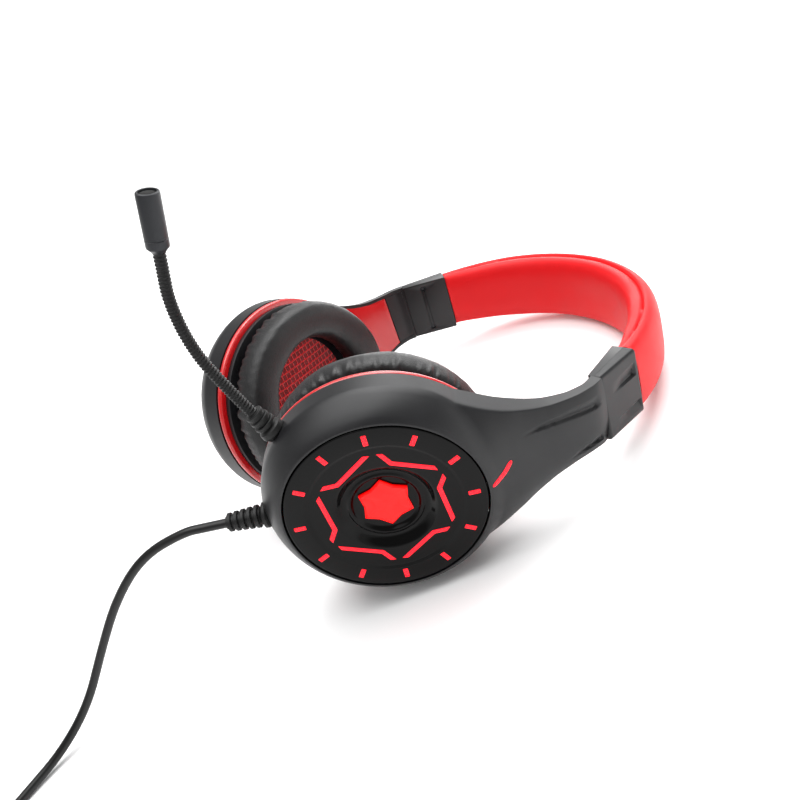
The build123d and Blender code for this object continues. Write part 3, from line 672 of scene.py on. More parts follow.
@dataclass
class CupShell:
    """The outer shell: a dome that flows into the arm, a plain side face, and two scoops on the arm."""

    side: Side
    mats: dict
    rim_r: float = 39.0
    edge_r: float = 47.4
    dome: tuple = ((38.0, 22.2), (39.4, 22.2), (40.2, 21.8), (41.8, 20.4), (43.6, 18.2), (45.2, 15.6),
                   (46.5, 12.9), (47.4, 10.6))
    flare: tuple = ((14.7, 84.0), (15.2, 76.0), (17.0, 66.0), (20.5, 56.4), (25.5, 46.6), (33.4, 33.6))
    crest: tuple = ((12.0, 2.0), (24.0, 15.5), (32.0, 19.0), (41.0, 20.0), (50.0, 16.0), (60.0, 11.2),
                    (70.0, 7.0), (80.0, 2.6), (86.2, -1.0), (89.9, -4.7), (92.6, -7.5), (96.0, -11.0))
    wall: float = 1.6
    past_seam: float = 0.1
    brink: tuple = ((12.0, -6.0), (24.0, 6.0), (33.6, 11.0), (41.0, 11.8), (50.0, 10.6), (60.0, 7.4),
                    (70.0, 4.0), (80.0, 0.2), (86.2, -3.1), (89.9, -6.6), (96.0, -13.0))
    inner: tuple = ((33.6, 1.6), (47.0, 1.6), (64.0, -0.2), (75.0, -2.3), (82.3, -5.3), (85.7, -8.7),
                    (88.4, -11.6), (96.0, -20.0))
    scoops: tuple = (((55.0, 12.8), (86.6, 8.0), 1.4, 5.2, 1.5), ((72.0, -9.3), (87.0, -8.6), 1.6, 3.8, 1.4))

    @staticmethod
    def lean(up: np.ndarray) -> np.ndarray:
        """How far the arm's centre line has moved forward at a height up the cup."""
        return ARM_AHEAD * np.clip((up - 33.6) / 50.4, 0, 1)

    def half_width(self, up: np.ndarray) -> np.ndarray:
        """Half the plan width of the cup and arm at a height up the cup."""
        line = np.array(self.flare[::-1])
        disc = np.sqrt(np.maximum(self.edge_r**2 - np.minimum(up, 33.6) ** 2, 1.0))
        return np.where(up < 33.6, disc, np.interp(up, line[:, 1], line[:, 0]))

    def height(self, ahead: np.ndarray, up: np.ndarray) -> np.ndarray:
        """Height of the outer surface over the cup's plane.

        Args:
            ahead: position towards the wearer's face.
            up: position towards the arm's end.
        Returns:
            The smooth union of the dome and the crowned arm, less the scoops.
        """
        radius = np.hypot(ahead, up)
        ring = smooth_line(self.dome, 200)
        dome = np.where(radius > self.edge_r, ring[-1, 1] - 2.5 * (radius - self.edge_r),
                        np.interp(radius, ring[:, 0], ring[:, 1]))
        crest = np.interp(up, *smooth_line(self.crest, 300).T)
        brink = np.interp(up, *smooth_line(self.brink, 300).T)
        across = ahead - self.lean(up)
        share = np.clip(np.abs(across) / self.half_width(up), 0, 1.0)
        arm = crest - (crest - brink) * share**2.6
        arm = np.where(up < 10, -60.0, arm)
        blend = np.clip(3.0 - np.abs(dome - arm), 0, None) / 3.0
        surface = np.maximum(dome, arm) + blend * blend * 0.75
        return surface - sum(scoop(ahead, up, *line) for line in self.scoops)

    def perimeter(self) -> tuple:
        """The plan outline from the arm's end round the cup and back, and where each ray starts."""
        arm = smooth_line(self.flare, 52)
        tip = np.stack((np.linspace(0, 14.7, 26, endpoint=False), np.full(26, 96.0)), axis=1)
        straight = np.stack((np.full(9, 14.7), np.linspace(96, 84, 9, endpoint=False)), axis=1)
        turn = np.radians(np.linspace(45.17, -90, 76)[1:])
        disc = self.edge_r * np.stack((np.cos(turn), np.sin(turn)), axis=1)
        half = np.vstack((tip, straight, arm, disc))
        start = np.concatenate((np.linspace(90, 79, 26, endpoint=False),
                                np.linspace(79, 74, 9, endpoint=False),
                                np.linspace(74, 45.17, 52), np.degrees(turn)))
        mirror, back = half[1:-1][::-1] * (-1, 1), 180 - start[1:-1][::-1]
        plan = np.vstack((half, mirror))
        plan[:, 0] += self.lean(plan[:, 1])
        angles = np.radians(np.concatenate((start, back)))
        return plan, self.rim_r * np.stack((np.cos(angles), np.sin(angles)), axis=1)

    def sheet(self) -> np.ndarray:
        """The open surface as rows round the outline and columns from the rim down the side face."""
        plan, rim = self.perimeter()
        reach = np.linalg.norm(plan - rim, axis=1)[:, None]
        inset = np.array([0.8, 0.5, 0.25, 0.08, 0.0])
        share = np.hstack((np.linspace(0, 1, 58)[None, :-1] * (1 - 0.8 / reach), 1 - inset / reach))
        flat = rim[:, None] + (plan - rim)[:, None] * share[..., None]
        top = self.height(flat[..., 0], flat[..., 1])
        top[:, -5:] -= 0.8 - np.sqrt(np.maximum(0.64 - (0.8 - inset) ** 2, 0))
        low = np.interp(plan[:, 1], *np.array(self.inner).T)
        rows = np.linspace(0, 1, 9)[None, 1:]
        wall = top[:, -1:] * (1 - rows) + low[:, None] * rows
        down = np.dstack((np.repeat(plan[:, None], 8, axis=1), wall))
        lip = np.dstack((rim[:, None], np.full((len(rim), 1), 19.7)))
        return np.hstack((lip, np.dstack((flat, top)), down))

    def build(self) -> bpy.types.Object:
        """The shell as a walled, closed mesh, cut square just past the slider's seam.

        The cut overlaps the band's cap a little at rest, so that no light shows through the joint.
        """
        axes, slider = cup_axes(self.side), slider_axes(self.side)
        points = self.sheet()
        name = self.side.node("shell")
        obj = make_object(name, axes.at(points), grid_faces(*points.shape[:2], True, False), 32)
        bm = bmesh.new()
        bm.from_mesh(obj.data)
        cut = bmesh.ops.bisect_plane(bm, geom=bm.verts[:] + bm.edges[:] + bm.faces[:], clear_outer=True,
                                     plane_co=Vector((slider.centre + slider.b * self.past_seam) * MM),
                                     plane_no=Vector(slider.b))
        ends = [g for g in cut["geom_cut"] if isinstance(g, bmesh.types.BMVert)]
        middle = sum((v.co for v in ends), Vector()) / len(ends)
        out, across = Vector(slider.c), Vector(slider.a)
        ends.sort(key=lambda v: math.atan2((v.co - middle) @ out, (v.co - middle) @ across))
        bm.faces.new(ends)
        bmesh.ops.recalc_face_normals(bm, faces=bm.faces)
        outward = sum(f.normal.dot(f.calc_center_median() - Vector(axes.centre * MM)) * f.calc_area()
                      for f in bm.faces)
        if outward < 0:
            bmesh.ops.reverse_faces(bm, faces=bm.faces)
        bm.to_mesh(obj.data)
        bm.free()
        wall = obj.modifiers.new("wall", "SOLIDIFY")
        wall.thickness, wall.offset = self.wall * MM, -1.0
        apply_modifiers(obj)
        obj.data.shade_smooth()
        obj.data.set_sharp_from_angle(angle=math.radians(32))
        dress(obj, self.mats["satin_black_abs"])
        return settle(obj, self.side.body, [self.side.node("outer_shell")])

    def build_slash(self) -> bpy.types.Object:
        """The slim lit lens let into the dome beside the face plate."""
        line = smooth_line(((0.2, 40.4), (2.3, 45.2), (6.2, 49.2)), 26)
        along = np.gradient(line, axis=0)
        along /= np.linalg.norm(along, axis=1)[:, None]
        side = np.stack((-along[:, 1], along[:, 0]), axis=1)
        ends = np.sqrt(np.clip(1 - (np.abs(np.linspace(-1, 1, 26)) ** 6), 0, 1))
        across = np.linspace(-0.95, 0.95, 7)
        flat = line[:, None] + side[:, None] * (across[None, :, None] * ends[:, None, None])
        crown = 0.28 - 0.16 * (across / 0.95) ** 2
        top = self.height(flat[..., 0], flat[..., 1]) + crown[None]
        upper, lower = np.dstack((flat, top)), np.dstack((flat, top - 1.4))
        loop = np.concatenate((upper, lower[:, ::-1]), axis=1)
        faces = grid_faces(26, 14, False, True)
        faces += [tuple(range(14)), tuple(25 * 14 + k for k in range(14))[::-1]]
        obj = make_object(self.side.node("slash_light"), cup_axes(self.side).at(loop), faces)
        dress(obj, self.mats["lit_red_bars"])
        return settle(obj, self.side.body, [self.side.node("slash_lens")])

    def lid(self, name: str, line: Sequence, thick: float) -> bpy.types.Object:
        """A lid on the arm's open inner side, following the given (up, height) line."""
        path = smooth_line(line, 40)
        half = self.half_width(path[:, 0]) - 1.75
        across = np.linspace(-1, 1, 15)
        ahead = self.lean(path[:, 0])[:, None] + half[:, None] * across
        up = np.repeat(path[:, :1], 15, axis=1)
        base = np.repeat(path[:, 1:], 15, axis=1)
        lower, upper = np.dstack((ahead, up, base)), np.dstack((ahead, up, base + thick))
        loop = np.concatenate((lower, upper[:, ::-1]), axis=1)
        faces = grid_faces(40, 30, False, True)
        faces += [tuple(range(30)), tuple(39 * 30 + k for k in range(30))[::-1]]
        return make_object(self.side.node(name), cup_axes(self.side).at(loop), faces)

    def build_inner_trim(self) -> None:
        """The red ring with its panel up the arm, and the black cover above it."""
        turn = np.radians(np.linspace(-80, 80, 9))
        bead = [(46.0 + 1.25 * math.cos(t), 1.5 * math.sin(t)) for t in turn]
        profile = [(43.0, -1.5), *bead, (45.2, 1.6), (45.2, 3.2), (43.0, 3.2)]
        ring = lathe("ring", cup_axes(self.side), profile)
        panel = self.lid("panel", ((44.5, 1.5), (47.0, 1.5), (64.0, -0.3), (75.0, -2.4), (77.0, -3.1)), 1.7)
        for obj in (ring, panel):
            dress(obj, self.mats["gloss_red_trim"])
        trim = join((ring, panel), self.side.node("red_trim"))
        trim.data.set_sharp_from_angle(angle=math.radians(35))
        bevel(trim, 0.25)
        settle(trim, self.side.body, [self.side.node("red_ring")])
        cover = self.lid("arm_end_cover", ((77.25, -3.2), (82.3, -5.35), (85.3, -8.35)), 1.8)
        dress(cover, self.mats["satin_black_abs"])
        bevel(cover, 0.2)
        settle(cover, self.side.body, [self.side.node("arm_cover")])


@dataclass
class BandCap:
    """The outer half of the moulded cap at one end of the band, with two scooped recesses."""

    side: Side
    mats: dict
    long: float = 23.2
    wide: float = 29.4
    thin: float = 5.8
    thick: float = 10.0
    corner: float = 1.5
    channel: tuple = (9.5, 1.0)
    scoops: tuple = (((5.6, 3.6), (21.4, 3.4), 4.8, 6.4, 1.35), ((6.2, -8.2), (22.2, -7.6), -3.4, -4.6, 1.25))

    def build(self) -> bpy.types.Object:
        """The cap as rounded sections from the seam to the padding, scooped on its outer face."""
        inset = np.array([0.5, 0.22, 0.06, 0.0])
        ends = np.array([0.02, 0.16, 0.4, 0.8])
        places = np.concatenate((ends, np.linspace(1.1, self.long - 1.1, 70), self.long - ends[::-1]))
        shrink = np.concatenate((inset, np.zeros(70), inset[::-1]))
        rows = []
        for up, less in zip(places, shrink):
            half = self.wide / 2 - less
            top = (self.thin + (self.thick - self.thin) * up / self.long) / 2 - less
            across = np.linspace(-(half - self.corner), half - self.corner, 90)
            face = top - scoop(across, np.full(90, up), *self.scoops[0])
            face = face - scoop(across, np.full(90, up), *self.scoops[1])
            turn = np.radians(np.linspace(80, 0, 7))
            corner = np.stack((half - self.corner * (1 - np.cos(turn)),
                               top - self.corner * (1 - np.sin(turn))), axis=1)
            reach, deep = self.channel
            under = np.array(((half, 0.0), (reach, 0.0), (reach, deep),
                              (-reach, deep), (-reach, 0.0), (-half, 0.0)))
            rows.append(np.vstack((np.stack((across, face), axis=1), corner, under, corner[::-1] * (-1, 1))))
        rows = np.array(rows)
        count = rows.shape[1]
        points = np.dstack((rows[..., 0], np.repeat(places[:, None], count, axis=1), rows[..., 1]))
        faces = grid_faces(len(places), count, False, True)
        faces += [tuple(range(count)), tuple((len(places) - 1) * count + k for k in range(count))[::-1]]
        cap = make_object(self.side.node("end_cap"), slider_axes(self.side).at(points), faces, 30)
        dress(cap, self.mats["satin_black_abs"])
        return settle(cap, "headband", [self.side.node("cap_outer")])


@dataclass
class LitFace:
    """The glossy face plate, its dished middle, the lit bars and the star."""

    side: Side
    mats: dict
    spokes: bpy.types.NodeTree
    plate_h: float = 22.2
    step_h: float = 21.35
    dash_count: int = 12
    dash_r: float = 33.4
    dash: tuple = (4.6, 2.0, 1.6)
    bend_r: float = 26.4
    kink_r: float = 21.7
    bend_angles: tuple = (173.0, 162.5, 122.0)
    bar_half: float = 0.95

    def build_plate(self) -> None:
        """The plate, turned: a raised rim, a wide step, and polished rings falling to the star."""
        top, step = self.plate_h, self.step_h
        wall = [(20.6, step), (19.9, step - 0.12), (19.2, step - 0.5), (18.3, step - 1.3), (17.4, step - 2.2),
                (16.7, step - 2.8), (16.0, step - 3.1), (15.3, step - 3.2), (14.8, step - 3.1),
                (14.4, step - 2.8), (14.0, step - 2.7), (13.5, step - 2.8), (13.1, step - 3.3),
                (12.6, step - 4.1), (12.0, step - 4.45), (11.2, step - 4.55)]
        profile = [(38.35, 19.6), (38.35, top - 0.35), (38.1, top - 0.08), (37.7, top), (30.6, top),
                   (30.1, top - 0.08), (29.2, step + 0.08), (28.6, step), *wall, (5.0, step - 4.6),
                   (5.0, 15.4), (12.0, 15.4), (20.0, 18.0), (37.0, 19.4)]
        plate = lathe(self.side.node("gloss_plate"), cup_axes(self.side), profile, 180, 50)
        dress(plate, self.mats["piano_black_plate"])
        settle(plate, self.side.body, [self.side.node("face_plate")])

    def bent_bar(self, turn: float) -> tuple:
        """One bent bar as a closed prism with slanted ends: points and faces."""
        radii = (self.bend_r, self.kink_r, self.bend_r)
        line = [np.array((r * math.cos(math.radians(a - turn)), r * math.sin(math.radians(a - turn))))
                for r, a in zip(radii, self.bend_angles)]
        d0, d1 = (line[1] - line[0]), (line[2] - line[1])
        d0, d1 = d0 / np.linalg.norm(d0), d1 / np.linalg.norm(d1)
        n0, n1 = np.array((-d0[1], d0[0])), np.array((-d1[1], d1[0]))
        mitre = (n0 + n1) / (1 + n0 @ n1)
        w = self.bar_half
        left = [line[0] + n0 * w + d0 * 1.3, line[1] + mitre * w, line[2] + n1 * w - d1 * 1.3]
        right = [line[0] - n0 * w - d0 * 0.4, line[1] - mitre * w, line[2] - n1 * w + d1 * 0.4]
        flat = left + right[::-1]
        low, high = self.step_h - 1.3, self.step_h + 0.16
        verts = [(*p, low) for p in flat] + [(*p, high) for p in flat]
        faces = [(0, 1, 4, 5), (1, 2, 3, 4), (6, 11, 10, 7), (7, 10, 9, 8)]
        faces += [(k, (k + 1) % 6, (k + 1) % 6 + 6, k + 6) for k in range(6)]
        return verts, faces

    def build_lights(self) -> None:
        """The dashes round the rim and the six bent bars, as one lit guide."""
        axes = cup_axes(self.side)
        red = self.mats["lit_red_bars"]
        lifted = Axes(axes.centre + axes.c * (self.plate_h - self.dash[2] / 2 + 0.14), axes.a, axes.b, axes.c)
        dashes = grown("dashes", self.spokes, {"Count": self.dash_count, "Radius": self.dash_r * MM,
                                               "Bar": [d * MM for d in self.dash], "Finish": red}, lifted)
        verts, faces = [], []
        for k in range(6):
            bar, sides = self.bent_bar(60.0 * k)
            faces += [tuple(i + len(verts) for i in f) for f in sides]
            verts += [(-x, y, h) for x, y, h in bar]
        bends = dress(make_object("bends", axes.at(np.array(verts)), faces, 30), red)
        guide = join((dashes, bends), self.side.node("lit_guide"))
        bevel(guide, 0.28, 2, 30)
        settle(guide, self.side.body, [self.side.node("light_guide")])

    def build_star(self) -> None:
        """The six-pointed star lens, faceted and dished towards its middle."""
        outer = [(10.9 if k % 2 == 0 else 8.5, math.radians(30 * k)) for k in range(12)]
        rows = ((1.0, 15.2), (1.0, 17.7), (0.93, 18.1), (0.5, 17.55))
        verts = [(r * f * math.cos(a), r * f * math.sin(a), h) for f, h in rows for r, a in outer]
        verts += [(0, 0, 15.2), (0, 0, 17.3)]
        faces = [(i * 12 + k, i * 12 + (k + 1) % 12, (i + 1) * 12 + (k + 1) % 12, (i + 1) * 12 + k)
                 for i in range(3) for k in range(12)]
        faces += [(48, (k + 1) % 12, k) for k in range(12)]
        faces += [(49, 36 + k, 36 + (k + 1) % 12) for k in range(12)]
        star = make_object(self.side.node("star"), cup_axes(self.side).at(np.array(verts)), faces, 4)
        dress(star, self.mats["lit_red_star"])
        settle(star, self.side.body, [self.side.node("star_lens")])


@dataclass
class EarCushion:
    """The padded ring: foam in leatherette with its skin gathered into the seam.

    The form is the turned ring's and the folds are drawn by gather(). The cloth simulation in swell()
    hardly moves the skin: by less than a fiftieth of a millimetre.
    """

    mats: dict
    out_r: float = 46.4
    in_r: float = 26.9
    low: float = -5.2
    top: float = -23.6
    seam_h: float = -7.6
    cap_mm: float = 3.0

    def blank_ring(self) -> bpy.types.Object:
        """The plain ring in its own flat terms, which sets the cushion's form."""
        wide, tall = (self.out_r - self.in_r) - 2.4, (self.low - self.top) - 2.0
        mid_r, mid_h = (self.out_r + self.in_r) / 2, (self.low + self.top) / 2
        turn = np.linspace(0, 2 * math.pi, 36, endpoint=False)
        power = lambda x: np.sign(x) * np.abs(x) ** 0.62
        profile = np.stack((mid_r + wide / 2 * power(np.cos(turn)),
                            mid_h + tall / 2 * power(np.sin(turn))), axis=1)
        flat = Axes(np.zeros(3), *np.eye(3))
        return lathe("cushion_blank", flat, profile, 110, 180)

    def swell(self, obj: bpy.types.Object) -> None:
        """Evens the ring's mesh, runs a light cloth simulation on it and caps how far each point moves."""
        remesh = obj.modifiers.new("even", "REMESH")
        remesh.mode, remesh.voxel_size = "VOXEL", 3.0 * MM
        apply_modifiers(obj)
        before = np.array([v.co for v in obj.data.vertices])
        cloth = obj.modifiers.new("foam", "CLOTH")
        cloth.settings.use_pressure = True
        cloth.settings.uniform_pressure_force = 4.0
        cloth.settings.effector_weights.gravity = 0.0
        cloth.settings.tension_stiffness = 18.0
        cloth.settings.bending_stiffness = 0.6
        scene = bpy.context.scene
        for number in range(1, 21):
            scene.frame_set(number)
        apply_modifiers(obj)
        scene.frame_set(1)
        after = np.array([v.co for v in obj.data.vertices])
        moved = after - before
        far = np.linalg.norm(moved, axis=1)[:, None]
        kept = before + moved * np.minimum(1, self.cap_mm * MM / np.maximum(far, 1e-9))
        obj.data.vertices.foreach_set("co", kept.astype(np.float32).ravel())
        finer = obj.modifiers.new("finer", "SUBSURF")
        finer.levels = finer.render_levels = 2
        apply_modifiers(obj)

    def gather(self, co: np.ndarray) -> np.ndarray:
        """Presses the seam into the side and the hole's edge and gathers the skin beside it.

        Args:
            co: points in millimetres in the ring's own terms.
        Returns:
            The moved points, kept inside the cushion's room.
        """
        chance = random.Random(7)
        turn = np.arctan2(co[:, 1], co[:, 0])
        radius, height = np.hypot(co[:, 0], co[:, 1]), co[:, 2]
        fold = np.zeros_like(turn)
        for count in (31, 38, 47, 59, 71, 88):
            shift = chance.uniform(0, 6.3)
            fold += np.sin(count * turn + shift + 1.2 * np.sin(5 * turn + chance.uniform(0, 6)))
        fold = fold / 3.2
        outside = radius > (self.out_r + self.in_r) / 2
        away = height - self.seam_h
        groove = np.exp(-((away / 1.0) ** 2))
        below = np.clip(-away, 0, None)
        pucker = np.exp(-((below / 4.6) ** 2)) * np.clip(below / 0.8, 0, 1)
        change = -2.1 * groove + 0.75 * fold * pucker + 0.35 * fold * groove
        inner_fold = np.exp(-(((height + 8.0) / 4.0) ** 2)) * 0.5 * fold
        radius = radius + np.where(outside, change, -inner_fold)
        slow = 0.35 * np.sin(5 * turn + 1.0) * np.sin(3 * turn + 2.2)
        height = height + np.where(height < -17, slow, 0)
        radius = np.clip(radius, self.in_r - 0.4, self.out_r + 0.9)
        height = np.clip(height, self.top - 1.2, self.low)
        return np.stack((radius * np.cos(turn), radius * np.sin(turn), height), axis=1)

    def build(self) -> None:
        """Both cushions, the second a mirror image of the first."""
        obj = self.blank_ring()
        self.swell(obj)
        co = self.gather(np.array([v.co for v in obj.data.vertices]) / MM)
        faces = [tuple(p.vertices) for p in obj.data.polygons]
        bpy.data.objects.remove(obj)
        for side in Side:
            piece = make_object(side.node("padded_ring"), cup_axes(side).at(co), faces, 180)
            dress(piece, self.mats["black_leatherette"])
            settle(piece, side.body, [side.node("ear_cushion")])
            self.build_cloth(side)

    def build_cloth(self, side: Side) -> None:
        """The red cloth in the cushion's hole, bowed a little over the speaker, with its flat map."""
        rows = np.concatenate(([0.0], np.linspace(1.5, 28.0, 22)))
        turn = np.linspace(0, 2 * math.pi, 96, endpoint=False)
        bow = -5.0 - 1.6 * np.cos(rows / 28.0 * math.pi / 2)
        top = np.stack([np.outer(rows, np.cos(turn)), np.outer(rows, np.sin(turn)),
                        np.repeat(bow[:, None], 96, axis=1)], axis=-1)
        under = top[::-1].copy()
        under[..., 2] += 0.5
        loop = np.concatenate((top, under))
        axes = cup_axes(side)
        obj = make_object(side.node("mesh_cloth"), axes.at(loop), grid_faces(46, 96, False, True), 60)
        layer = obj.data.uv_layers.new(name="flat")
        for index, corner in enumerate(obj.data.loops):
            place = np.array(obj.data.vertices[corner.vertex_index].co) - axes.centre * MM
            layer.data[index].uv = (float(place @ axes.b), float(place @ axes.a))
        dress(obj, self.mats["red_spacer_cloth"])
        settle(obj, side.body, [side.node("speaker_cloth")])


# ---------------------------------------------------------------- band


@dataclass
class PaddedBand:
    """The red band: a crowned outer skin and a thicker pad inside it, parted by a pressed crease."""

    mats: dict
    centre: float = 77.0
    out_r: float = 82.5
    sections: tuple = ((20.2, 9.8, 29.2), (31.0, 12.8, 30.6), (48.0, 14.2, 32.4), (90.0, 14.2, 33.2))
    rings: int = 180
    around: int = 176

    def build(self) -> None:
        """The band as one closed mesh from cap to cap."""
        table = np.array(self.sections)
        full = np.vstack((table, np.column_stack((180 - table[-2::-1, 0], table[-2::-1, 1:]))))
        angles = np.linspace(full[0, 0], full[-1, 0], self.rings)
        thick = np.interp(angles, full[:, 0], full[:, 1])
        wide = np.interp(angles, full[:, 0], full[:, 2])
        kernel = np.hanning(15) / np.hanning(15).sum()
        pad_t, pad_w = np.pad(thick, 7, mode="edge"), np.pad(wide, 7, mode="edge")
        thick, wide = np.convolve(pad_t, kernel, "valid"), np.convolve(pad_w, kernel, "valid")
        turn = np.linspace(0, 2 * math.pi, self.around, endpoint=False)
        power = lambda x, n: np.sign(x) * np.abs(x) ** (2 / n)
        loops = []
        for angle, t, w in zip(np.radians(angles), thick, wide):
            deep, front = t / 2 * power(np.cos(turn), 2.9), w / 2 * power(np.sin(turn), 3.4)
            from_cap = min(angle - math.radians(20.2), math.radians(159.8) - angle)
            ease = min(1.0, from_cap / math.radians(14))
            line = t / 2 - 6.2
            side = np.clip(np.abs(front) / (w / 2), 0, 1) ** 8
            press = np.exp(-(((deep - line) / 0.75) ** 2)) * side
            front = front - np.sign(front) * 0.95 * press * (0.35 + 0.65 * ease)
            behind = (1 - np.clip((line - deep) / 5, 0, 1)) * (deep < line)
            front = front - np.sign(front) * 0.9 * behind * side * ease
            hollow = (np.cos(math.pi * np.clip(front / w, -0.5, 0.5)) ** 2) * 0.5 * (deep < 0) * ease
            radius = self.out_r - t / 2 + deep + hollow * 0.6
            loops.append(np.stack((radius * math.cos(angle), front,
                                   self.centre + radius * math.sin(angle)), axis=1))
        points = np.stack(loops)
        verts = np.array([spot(*p) for p in points.reshape(-1, 3)]) * MM
        faces = grid_faces(self.rings, self.around, False, True)
        last = (self.rings - 1) * self.around
        faces += [tuple(range(self.around)), tuple(last + k for k in range(self.around))[::-1]]
        band = make_object("padded_band", verts, faces, 60)
        dress(band, self.mats["soft_red_skin"])
        settle(band, "headband", ["headband_pad"])


# ---------------------------------------------------------------- boots, boom and microphone


@dataclass
class Boots:
    """The ribbed rubber sleeves where the cable and the boom leave the left cup."""

    mats: dict
    collars: bpy.types.NodeTree

    def ribbed(self, name: str, axes: Axes, core: Sequence, row: dict, start: float) -> bpy.types.Object:
        """A tapered core with a row of collars on it.

        Args:
            name: the piece's name.
            axes: its base and direction (third direction).
            core: the core's (radius, height) profile.
            row: inputs of the collar tree.
            start: where the first collar stands.
        Returns:
            One joined piece.
        """
        rubber = self.mats["flexible_black_rubber"]
        body = dress(lathe("core", axes, core, 48), rubber)
        base = Axes(axes.centre + axes.c * start, axes.a, axes.b, axes.c)
        ribs = grown("ribs", self.collars, {**row, "Finish": rubber}, base)
        piece = join((body, ribs), name)
        piece.data.set_sharp_from_angle(angle=math.radians(35))
        bevel(piece, 0.22, 2, 50)
        return piece

    def build(self) -> None:
        """Both sleeves on the left cup."""
        cup = cup_axes(Side.LEFT)
        foot = cup.centre + cup.b * (3.5 - 47.6) + cup.c * 9.5
        axes = Axes(foot, cup.a, cup.c, -cup.b)
        core = [(0.01, 0.5), (3.4, 0.5), (5.2, 3.0), (5.2, 4.2), (3.1, 5.4), (2.6, 19.55), (0.01, 19.55)]
        cable = self.ribbed("cable_sleeve", axes, core, {"Count": 5, "Step": 2.75 * MM, "Radius": 4.6 * MM,
                                                         "Height": 1.45 * MM, "Shrink": 0.045}, 6.9)
        settle(cable, Side.LEFT.body, ["cable_boot"])
        start, end = np.array((32.4, -32.6)), np.array((45.0, -38.9))
        run = (end - start) / np.linalg.norm(end - start)
        toward = cup.vector((run[0], run[1], 0.0))
        axes = Axes(cup.at((*start, 5.5)) / MM, np.cross(cup.c, toward), cup.c, toward)
        core = [(0.01, 0.5), (3.6, 0.5), (5.0, 3.0), (4.7, 5.0), (3.2, 6.0), (2.9, 13.6), (0.01, 13.6)]
        root = self.ribbed("boom_sleeve", axes, core, {"Count": 3, "Step": 2.6 * MM, "Radius": 4.3 * MM,
                                                       "Height": 1.4 * MM, "Shrink": 0.08}, 7.4)
        settle(root, Side.LEFT.body, ["mic_boot"])


@dataclass
class Boom:
    """The bendable boom in its spiral sleeve, in stretches cut between the links' middles."""

    mats: dict
    height: float = 5.5
    radius: float = 2.05
    rib: float = 0.2
    pitch: float = 1.35
    hinges: tuple = ((45.0, -38.9), (57.5, -44.0), (70.0, -48.3), (82.5, -50.4), (95.0, -50.4),
                     (107.0, -48.2))
    root: tuple = (32.4, -32.6)
    tip: tuple = (131.3, -43.2)
    head_r: float = 3.9

    def build(self) -> None:
        """Six stretches of sleeve and the microphone's tube."""
        cup = cup_axes(Side.LEFT)
        line = smooth_line((self.root, *self.hinges, self.tip), 2400)
        line = cup.at(np.column_stack((line, np.full(len(line), self.height))))
        knots = cup.at(np.array([(*p, self.height) for p in (self.root, *self.hinges, self.tip)]))
        nearest = lambda point: int(np.argmin(np.linalg.norm(line - point, axis=1)))
        marks = [nearest(k) for k in knots]
        cuts = [marks[0] + int((marks[1] - marks[0]) * 0.72)]
        cuts += [(a + b) // 2 for a, b in zip(marks[1:6], marks[2:7])]
        cuts.append(marks[6] + int((marks[7] - marks[6]) * 0.28))
        reach = np.concatenate(([0], np.cumsum(np.linalg.norm(np.diff(line, axis=0), axis=1))))
        for k in range(6):
            low, high = cuts[k], cuts[k + 1]
            where = np.linspace(reach[low], reach[high], 96)
            path = np.stack([np.interp(where, reach, line[:, i]) for i in range(3)], axis=1)
            base = where[0]
            skin = lambda along, angle, base=base: (self.radius + self.rib * np.sin(
                2 * math.pi * (along + base) / (self.pitch * MM))) * MM
            piece = sweep(f"boom_sleeve_{k + 1}", path, skin, 20, 75)
            dress(piece, self.mats["flexible_black_rubber"])
            along = path[-1] - path[0]
            along = along / np.linalg.norm(along)
            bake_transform(piece)
            if k < 5:
                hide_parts(f"boom_link_{k + 1}")
        self.build_head(knots[6], knots[7])

    def build_head(self, start: np.ndarray, end: np.ndarray) -> None:
        """The microphone's painted tube with its collar, rounded shoulder and foam mouth."""
        cup = cup_axes(Side.LEFT)
        toward = (end - start) / np.linalg.norm(end - start)
        axes = Axes(start / MM, np.cross(cup.c, toward), cup.c, toward)
        long = float(np.linalg.norm(end - start)) / MM
        r = self.head_r
        profile = [(0.01, 4.6), (2.2, 4.6), (2.7, 5.2), (r - 0.5, 6.0), (r - 0.1, 6.4), (r, 6.9), (r, 9.2),
                   (r - 0.22, 9.35), (r - 0.22, 9.75), (r, 9.9), (r, long - 0.7), (r - 0.15, long - 0.25),
                   (r - 0.5, long - 0.02), (r - 0.95, long - 0.1), (r - 1.1, long - 1.0), (0.01, long - 1.0)]
        tube = lathe("microphone_tube", axes, profile, 64, 30)
        dress(tube, self.mats["painted_mic_tube"])
        settle(tube, "mic_head", ["mic_housing"])
        foam = [(0.01, long - 1.6), (r - 1.15, long - 1.6), (r - 1.15, long - 0.75), (1.6, long - 0.35),
                (0.01, long - 0.25)]
        pad = lathe("microphone_foam", axes, foam, 48, 80)
        dress(pad, self.mats["acoustic_foam"])
        settle(pad, "mic_head", ["mic_capsule"])


# ---------------------------------------------------------------- cable


